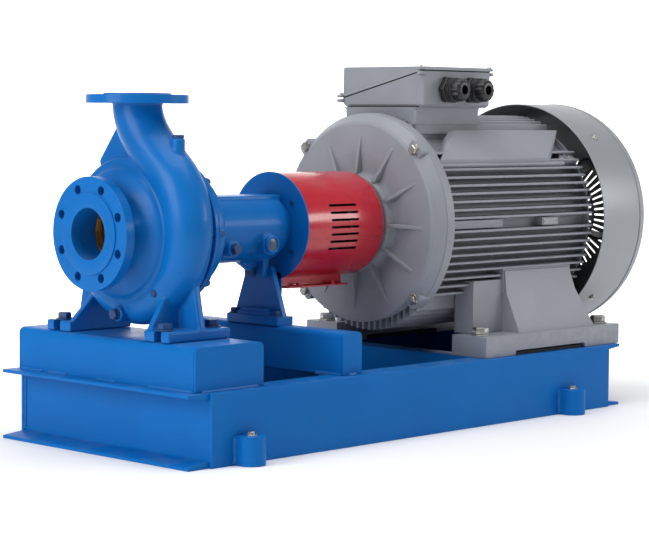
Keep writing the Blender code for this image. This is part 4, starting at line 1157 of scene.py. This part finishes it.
def build_frame_side_details():
    start = MOTOR[0].x
    bm = bmesh.new()
    for side in (-1, 1):
        add_slab(bm, side, (start + 24, start + 196), (196, 225), (AXIS_Z - 9, AXIS_Z + 9))
        add_slab(bm, side, (start + 332, start + 390), (196, 226), (AXIS_Z - 9.5, AXIS_Z + 9.5))
    for side in (-1, 1):
        add_prism(bm, rounded([(side * 150, 325), (side * 207, 325), (side * 207, 268),
                               (side * 150, 268)], 5), "x", 1000, 1240)
    piece("frame_side_pads", bm, "smooth_grey", break_edge=1.2)
    bm = bmesh.new()
    add_block(bm, (start + 336, -227.2, AXIS_Z - 7), (start + 386, -226, AXIS_Z + 7))
    piece("blank_rating_plate", bm, "cowl_grey", break_edge=0.3)
    bm = bmesh.new()
    for x in (start + 340, start + 382):
        add_turned(bm, [(0, 0), (0, 1.8), (0.8, 1.4), (1.0, 0)], (x, -227.2, AXIS_Z), (0, -1, 0), 16)
    piece("rating_plate_rivets", bm, "steel")


def build_shields():
    face, back = SHIELD_FACE, MOTOR[0].x - 0.3
    bm = bmesh.new()
    add_turned(bm, rounded([(738, 48), (738, 99, 3), (743, 104, 3), (face + 6, 108, 12),
                            (face + 1, 150, 3), (face, 212, 2), (face + 4, 219.5, 2.5),
                            (face + 9, 221, 2), (back, RING_RADIUS - 1, 2), (back, 181), (775, 120),
                            (775, 48)], 1.0), ring=True)
    plate = drawn(bm, "plate")
    bm = bmesh.new()
    add_bottom_sector(bm, 217.0, face - 5, back + 5)
    cut(plate, bm)
    piece("front_shield_plate", plate, "cast_grey", replaces=["drive_end_shield"], break_edge=0.6)
    bm = bmesh.new()
    for angle in around(12, radians(-2)):
        tangent = Vector((0, cos(angle), -sin(angle)))
        outline = [(738, 92), (765, 92), (765, 190), (751.5, 189)]
        wide = [on_circle(x, radius, angle) + tangent * 4.2 for x, radius in outline]
        other = [on_circle(x, radius, angle) - tangent * 4.2 for x, radius in outline]
        add_skin(bm, [wide, other])
    piece("front_shield_ribs", bm, "cast_grey", break_edge=2.0)
    lugs, bolts = bmesh.new(), bmesh.new()
    for angle in around(4, radians(45)):
        outward = Vector((0, sin(angle), cos(angle)))
        tangent = Vector((0, cos(angle), -sin(angle)))
        low, high = [], []
        for across, out in rounded([(-19, 200), (-19, 238, 8), (19, 238, 8), (19, 200)], 1, steps=5):
            middle = Vector((0, 0, AXIS_Z)) + outward * out + tangent * across
            low.append(middle + Vector((face + 6, 0, 0)))
            high.append(middle + Vector((back + 12, 0, 0)))
        add_skin(lugs, [low, high])
        add_hex(bolts, on_circle(face + 6, 225, angle), (-1, 0, 0), 19, 9, washer=13, turn=angle)
    for angle in around(4, radians(0)):
        add_hex(bolts, on_circle(738, 74, angle), (-1, 0, 0), 13, 6, turn=angle)
    piece("front_shield_lugs", lugs, "cast_grey", break_edge=1.4)
    piece("front_shield_bolts", bolts, "zinc")
    bm = bmesh.new()
    add_turned(bm, rounded([(0, 44), (0, 70, 2), (6, 74, 2), (10, 60, 3), (10, 44)], 0.8),
               (731, 0, AXIS_Z), (1, 0, 0), ring=True)
    piece("front_bearing_cap", bm, "smooth_grey")
    bm = bmesh.new()
    end = MOTOR[1].x
    add_turned(bm, rounded([(end + 0.3, 180), (end + 0.3, 219, 2), (end + 9, 217, 3),
                            (end + 22, 112, 8), (end + 24, 48), (end + 14, 48), (end + 4, 112)], 1.0),
               ring=True)
    for angle in around(8):
        tangent = Vector((0, cos(angle), -sin(angle)))
        outline = [(end + 2, 60), (end + 22, 60), (end + 8, 205), (end + 2, 205)]
        add_skin(bm, [[on_circle(x, radius, angle) + tangent * offset for x, radius in outline]
                      for offset in (-3.5, 3.5)])
    piece("rear_shield_casting", bm, "cast_grey", replaces=["rear_end_shield"], break_edge=1.0)


def build_motor_feet():
    low_z, top = MOTOR_FOOT[0].z, MOTOR_FOOT[0].z + 45.0
    start, end = MOTOR_FOOT[0].x, MOTOR_FOOT[1].x
    bolt_x = (start + 28, end - 29)
    for name, side in (("near", -1), ("far", 1)):
        bm = bmesh.new()
        low, high = sorted((side * 172.0, side * 268.0))
        outline = rounded([(start, low_z), (start + 100, low_z), (start + 102, low_z + 10, 3),
                           (end - 130, low_z + 10, 3), (end - 128, low_z), (end, low_z), (end, top),
                           (start, top)], 1.0)
        add_prism(bm, outline, "y", low, high)
        rings = []
        for z, outer, first, last in ((top - 3, 254, 1002, 1274), (top + 2, 252, 1003, 1272),
                                      (268, 216, 1003, 1249), (318, 210, 1003, 1232)):
            rings.append([(x, side * y, z) for x, y in ((first, 198), (last, 198), (last, outer),
                                                        (first, outer))])
        add_skin(bm, rings)
        add_slab(bm, side, (905, 1004), (150, 203), (186, 300))
        piece("motor_foot_casting_" + name, bm, "smooth_grey",
              replaces=["motor_foot_" + name], break_edge=2.0)
        bolts = bmesh.new()
        for x in bolt_x:
            add_hex(bolts, (x, side * 228.5, top), (0, 0, 1), 30, 15, washer=20, turn=0.4)
            add_rod(bolts, (x, side * 228.5, top - 60), (0, 0, 1), 9.5, 62)
        piece("motor_bolts_" + name, bolts, "zinc",
              replaces=[f"motor_foot_bolt_{row}_{name}" for row in ("front", "rear")])
    shims = bmesh.new()
    for side in (-1, 1):
        add_slab(shims, side, (start + 106, end - 134), (178, 262), (low_z - 0.1, low_z + 6))
    piece("foot_shims", shims, "rubber", break_edge=0.5)


def build_cowl():
    start, back = COWL[0].x, COWL[1].x
    seam = back - 42
    radius = COWL[1].y - 2
    bm = bmesh.new()
    outer = [(start, radius - 2.5), (start, radius, 1), (seam - 1, radius, 0.8),
             (seam - 0.6, radius - 1.8, 0.3), (seam + 0.6, radius - 1.8, 0.3),
             (seam + 1, radius + 1.4, 1), (seam + 20, radius - 1, 20), (back - 9, radius - 14, 14), (back, radius - 46, 8)]
    inner = [(back, 196, 0.5), (back - 2.5, 196, 0.5), (back - 2.5, radius - 47, 6),
             (back - 11, radius - 17, 12), (seam + 19, radius - 4, 14)]
    add_turned(bm, rounded(outer + inner, 1.0, steps=5), ring=True)
    piece("cowl_shell", bm, "cowl_grey", replaces=["fan_cowl"], angle=30.0)
    bm = bmesh.new()
    slots = []
    for inner_radius, outer_radius, count in ((56, 92, 32), (99, 139, 52)):
        slot = rounded([(inner_radius, -2.2), (outer_radius, -2.2), (outer_radius, 2.2),
                        (inner_radius, 2.2)], 2.1, steps=3)
        for angle in around(count):
            slots.append([(out * cos(angle) - across * sin(angle),
                           AXIS_Z + out * sin(angle) + across * cos(angle)) for out, across in slot])
    add_plate(bm, circle(0, AXIS_Z, 197, 128), slots, "x", back - 2.5, back)
    piece("cowl_grille", bm, "cowl_grey", break_edge=0.4)
    screws = bmesh.new()
    for angle in around(4, radians(45)):
        outward = Vector((0, sin(angle), cos(angle)))
        base = on_circle(start + 59, radius - 0.3, angle)
        add_turned(screws, [(0, 0), (0, 9), (1.2, 9), (1.4, 6.5), (4.5, 5.5), (5.4, 3.5), (3.5, 2.5),
                            (3.5, 0)], base, outward, 28)
    piece("cowl_screws", screws, "zinc")


# ---- terminal box ---------------------------------------------------------------------------
def build_terminal_box():
    start, end = BOX[0].x, BOX[1].x
    half = BOX[1].y
    low, top = BOX[0].z, LID[1].z
    split_far, split_near = low + 18.0, top - 10.0
    bm = bmesh.new()
    neck_low, neck_high = NECK[0].z - 22, NECK[1].z
    rings = []
    for z, grow in ((neck_low, -1.0), (neck_high - 5, 0.0), (neck_high - 1.5, 2.0), (neck_high, 2.0)):
        outline = rounded([(NECK[0].x - grow, NECK[0].y - grow), (NECK[1].x + grow, NECK[0].y - grow),
                           (NECK[1].x + grow, NECK[1].y + grow), (NECK[0].x - grow, NECK[1].y + grow)],
                          7, steps=4)
        rings.append([(x, y, z) for x, y in outline])
    add_skin(bm, rings)
    piece("box_neck", bm, "smooth_grey", replaces=["terminal_box_neck"], angle=30.0)
    bm = bmesh.new()
    outline = rounded([(NECK[0].x + 3, NECK[0].y + 3), (NECK[1].x - 3, NECK[0].y + 3),
                       (NECK[1].x - 3, NECK[1].y - 3), (NECK[0].x + 3, NECK[1].y - 3)], 5)
    add_prism(bm, outline, "z", neck_high - 0.5, low + 2.0)
    plan = [(start + 1.5, half - 1.5, split_far - 1), (end - 1.5, half - 1.5, split_far - 1),
            (end - 1.5, 1.5 - half, split_near - 1), (start + 1.5, 1.5 - half, split_near - 1)]
    add_skin(bm, [[(x, y, z + lift) for x, y, z in plan] for lift in (0.0, 5.0)])
    piece("box_gaskets", bm, "rubber", break_edge=0.4)

    def slanted(bm, z_levels):
        rings = []
        for far_z, near_z, grow in z_levels:
            outline = rounded([(start - grow, -half - grow), (end + grow, -half - grow),
                               (end + grow, half + grow), (start - grow, half + grow)], 6, steps=4)
            span = 2 * (half + grow)
            rings.append([(x, y, near_z + (far_z - near_z) * (y + half + grow) / span)
                          for x, y in outline])
        add_skin(bm, rings)

    bm = bmesh.new()
    slanted(bm, ((low, low, -6.0), (low + 6, low + 6, -1.0), (split_far - 4, split_near - 4, 0.0),
                 (split_far, split_near, 0.5)))
    piece("box_body", bm, "smooth_grey", replaces=["terminal_box"], angle=30.0)
    bm = bmesh.new()
    slanted(bm, ((split_far + 3, split_near + 3, 1.5), (split_far + 6, split_near + 4.5, 1.5),
                 (split_far + 9, split_near + 5.5, 0.0), (top - 2.5, top - 1.2, -0.5),
                 (top, top, -3.0)))
    piece("box_lid", bm, "smooth_grey", replaces=["terminal_box_lid"], angle=30.0)
    lugs, screws = bmesh.new(), bmesh.new()
    for x in (start - 3, end + 3):
        for y, z in ((-half + 6, split_near), (half + 2, split_far)):
            add_rod(lugs, (x, y, z - 8), (0, 0, 1), 8.5, 7.5, 24, 1.2)
            add_rod(lugs, (x, y, z + 3), (0, 0, 1), 8.5, 5.5, 24, 1.2)
            add_turned(screws, [(0, 0), (0, 5.5), (3.5, 5.2), (4.5, 4.0), (4.5, 2.6), (2.0, 2.4),
                                (2.0, 0)], (x, y, z + 8.4), (0, 0, 1), 24)
    piece("box_screw_lugs", lugs, "smooth_grey")
    piece("box_screws", screws, "zinc")


def build_glands():
    for name in ("front", "rear"):
        box = corners("cable_gland_" + name)
        x, z = (box[0].x + box[1].x) / 2, (box[0].z + box[1].z) / 2
        face = BOX[0].y
        bm = bmesh.new()
        add_turned(bm, rounded([(-8, 9.5), (-8, 16), (0.3, 16), (0.3, 29, 1), (3, 31, 1), (13, 31, 1),
                                (15.5, 28.5, 1), (15.5, 9.5)], 0.5), (x, face, z), (0, -1, 0), 6,
                   ring=True, start=0.2)
        piece(f"gland_{name}_nut", bm, "black", angle=30.0, break_edge=0.6)
        bm = bmesh.new()
        profile = [(15, 9.5), (15, 24.5), (18, 24.5)]
        for groove in range(3):
            begin = 18 + groove * 4.5
            profile += [(begin + 0.8, 26.5, 0.8), (begin + 3.0, 26.5, 0.8), (begin + 3.8, 24.0, 0.5)]
        profile += [(32, 24), (32, 9.5)]
        add_turned(bm, rounded(profile, 0.3), (x, face, z), (0, -1, 0), 64, ring=True)
        piece(f"gland_{name}_collar", bm, "black")
        bm = bmesh.new()
        outline = [(angle, 24.0 + 1.1 * cos(12 * angle)) for angle in around(96)]
        rings = []
        for along, factor in ((32, 0.90), (34, 1.0), (46, 0.98), (50, 0.86), (52, 0.72)):
            rings.append([(x + radius * factor * cos(angle), face - along,
                           z + radius * factor * sin(angle)) for angle, radius in outline])
        for along, radius in ((52, 10.5), (36, 9.5), (32, 9.5)):
            rings.append([(x + radius * cos(angle), face - along, z + radius * sin(angle))
                          for angle, _ in outline])
        add_skin(bm, rings, joined=True)
        piece(f"gland_{name}_cap", bm, "black", replaces=["cable_gland_" + name])


# ---- inner parts -----------------------------------------------------------------------------
INNER_FINISHES = {
    "steel": ("pump_shaft", "motor_shaft", "impeller_nut", "seal_spinning_ring"),
    "bronze": ("impeller", "wear_ring"),
    "ceramic": ("seal_fixed_seat",),
    "iron": ("coupling_hub_pump", "coupling_hub_motor", "rotor_core"),
    "rubber": ("coupling_spider",),
    "copper": ("stator",),
    "black": ("cooling_fan", "terminal_block"),
}


def finish_inner_parts():
    """Give the carried-over inner nodes their materials."""
    finish_of = {node: finish for finish, nodes in INNER_FINISHES.items() for node in nodes}
    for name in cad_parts:
        if "_bearing_" in name:
            finish_of[name] = "steel"
    for name, finish in finish_of.items():
        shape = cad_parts[name]
        for place in shape.material_slots:
            place.material = material(finish)


# ---- stage --------------------------------------------------------------------------------
def camera_axes(azimuth, elevation, roll):
    """Sight line, right and up of a camera, by its angles in degrees."""
    a, e, t = radians(azimuth), radians(elevation), radians(roll)
    sight = Vector((-sin(a) * cos(e), cos(a) * cos(e), -sin(e)))
    right = sight.cross(Vector((0, 0, 1))).normalized()
    up = right.cross(sight)
    return sight, right * cos(t) + up * sin(t), up * cos(t) - right * sin(t)


def aim(shape, place, target):
    shape.location = place
    shape.rotation_euler = (Vector(target) - Vector(place)).to_track_quat("-Z", "Y").to_euler()


def add_light(name, place, target, size, power, tint=(1.0, 1.0, 1.0)):
    data = bpy.data.lights.new(name, "AREA")
    data.shape = "RECTANGLE"
    data.size, data.size_y = size
    data.energy = power
    data.color = tint
    lamp = bpy.data.objects.new(name, data)
    bpy.context.collection.objects.link(lamp)
    aim(lamp, place, target)


def plain_material(name, tone, roughness):
    made = bpy.data.materials.new(name)
    made.use_nodes = True
    tree = made.node_tree
    shader = tree.nodes["Principled BSDF"]
    tree.links.new(mixed(tree, noise(tree, 1.5), shaded(tone, 0.99), tone),
                   shader.inputs["Base Color"])
    shader.inputs["Roughness"].default_value = roughness
    return made


def build_stage():
    bm = bmesh.new()
    depth, bend = FLOOR_REACH, 2.5
    sight = camera_axes(CAMERA_ANGLES[0], 0.0, 0.0)[0]
    side = Vector((-sight.y, sight.x, 0))
    profile = [(-2 * depth, 0.0), (depth - bend, 0.0)]
    profile += [(depth - bend + bend * sin(a), bend - bend * cos(a))
                for a in (pi / 2 * k / 16 for k in range(1, 17))]
    profile += [(depth, 2 * depth)]
    rows = []
    for along, height in profile:
        middle = sight * along + Vector((0, 0, height))
        rows.append([bm.verts.new(middle + side * across) for across in (-3 * depth, 3 * depth)])
    for low, high in zip(rows, rows[1:]):
        bm.faces.new((low[0], low[1], high[1], high[0]))
    mesh = bpy.data.meshes.new("floor_sweep")
    bm.to_mesh(mesh)
    bm.free()
    mesh.shade_smooth()
    floor = bpy.data.objects.new("floor_sweep", mesh)
    bpy.context.collection.objects.link(floor)
    mesh.materials.append(plain_material("pale_floor", (0.95, 0.95, 0.955), 0.8))

    world = bpy.data.worlds.new("studio")
    bpy.context.scene.world = world
    world.use_nodes = True
    background = world.node_tree.nodes["Background"]
    background.inputs["Color"].default_value = (1.0, 1.0, 1.0, 1.0)
    background.inputs["Strength"].default_value = 0.28

    focus = (0.0, 0.0, 0.4)
    add_light("overhead_softbox", (-0.4, -0.5, 4.2), focus, (4.0, 3.0), 125)
    add_light("left_softbox", (-4.6, 0.4, 1.9), focus, (2.6, 2.6), 125)
    add_light("right_softbox", (3.4, -3.4, 1.5), focus, (2.2, 1.0), 45)
    add_light("backdrop_light", sight * 3.2 + Vector((0, 0, 3.6)),
              sight * (FLOOR_REACH - 1.6), (9.0, 2.6), 620)

    sight, right, up = camera_axes(*CAMERA_ANGLES)
    data = bpy.data.cameras.new("camera")
    data.sensor_width = 36.0
    data.lens = 115.5
    data.clip_end = 100.0
    camera = bpy.data.objects.new("camera", data)
    bpy.context.collection.objects.link(camera)
    turn = Matrix((right, up, -sight)).transposed().to_4x4()
    camera.matrix_world = Matrix.Translation(CAMERA_TARGET - sight * CAMERA_DISTANCE) @ turn
    bpy.context.scene.camera = camera
    bpy.context.scene.view_settings.view_transform = "Standard"


# ---- operators -----------------------------------------------------------------------------
def make_operator(identifier, label, doc, *builders):
    """An operator class that runs builders for one piece or group of pieces."""
    def execute(self, context):
        for build in builders:
            build()
        return {"FINISHED"}

    return type("PUMPSET_OT_" + identifier, (bpy.types.Operator,),
                {"bl_idname": "pump_set." + identifier, "bl_label": label, "__doc__": doc,
                 "bl_options": {"REGISTER", "UNDO"}, "execute": execute})


OPERATORS = [
    make_operator("stage", "Stage", "Add the floor, the lights and the camera", build_stage),
    make_operator("base", "Base", "Build the channel base with its sleeves and welds",
                  build_rails, build_end_channels, build_sleeve_details, build_base_welds),
    make_operator("pedestals", "Pedestals", "Build the folded plate pedestals", build_pedestals),
    make_operator("casing", "Casing", "Build the volute casting", build_casing),
    make_operator("flanges", "Flanges", "Build the suction and discharge flanges", build_flanges),
    make_operator("casing_fittings", "Casing fittings", "Build plugs and foot bolts of the casing",
                  build_casing_fittings),
    make_operator("cover", "Cover", "Build the casing cover and its nuts", build_cover),
    make_operator("bracket", "Bearing bracket", "Build the bearing bracket and its fittings",
                  build_bracket, build_bracket_fittings),
    make_operator("support_foot", "Support foot", "Build the bracket's foot", build_support_foot),
    make_operator("guard", "Coupling guard", "Build the guard, its end disc and skirts", build_guard),
    make_operator("frame", "Motor frame", "Build the finned frame with its pads",
                  build_frame, build_frame_bosses, build_frame_side_details),
    make_operator("shields", "End shields", "Build the motor's end shields", build_shields),
    make_operator("motor_feet", "Motor feet", "Build the motor's feet and bolts", build_motor_feet),
    make_operator("cowl", "Fan cowl", "Build the cowl, its grille and screws", build_cowl),
    make_operator("terminal_box", "Terminal box", "Build the terminal box and its lid",
                  build_terminal_box),
    make_operator("glands", "Cable glands", "Build the cable glands", build_glands),
    make_operator("inner_parts", "Inner parts", "Finish the parts inside", finish_inner_parts),
]


class PUMPSET_PT_panel(bpy.types.Panel):
    """Lists the pieces of the pump set and their settings"""
    bl_label = "Pump Set"
    bl_idname = "PUMPSET_PT_panel"
    bl_space_type = "VIEW_3D"
    bl_region_type = "UI"
    bl_category = "Pump Set"

    def draw(self, context):
        layout = self.layout
        for settings in (context.scene.pump_set_colours, context.scene.pump_set_details):
            column = layout.column(align=True)
            for name in settings.__annotations__:
                column.prop(settings, name)
        for operator in OPERATORS:
            layout.operator(operator.bl_idname)


CLASSES = [PumpSetColours, PumpSetDetails, *OPERATORS, PUMPSET_PT_panel]


def register():
    for item in CLASSES:
        bpy.utils.register_class(item)
    bpy.types.Scene.pump_set_colours = PointerProperty(type=PumpSetColours)
    bpy.types.Scene.pump_set_details = PointerProperty(type=PumpSetDetails)


def unregister():
    del bpy.types.Scene.pump_set_details
    del bpy.types.Scene.pump_set_colours
    for item in reversed(CLASSES):
        bpy.utils.unregister_class(item)


def main():
    register()
    for operator in OPERATORS:
        getattr(bpy.ops.pump_set, operator.bl_idname.split(".")[1])()


if __name__ == "__main__":
    main()
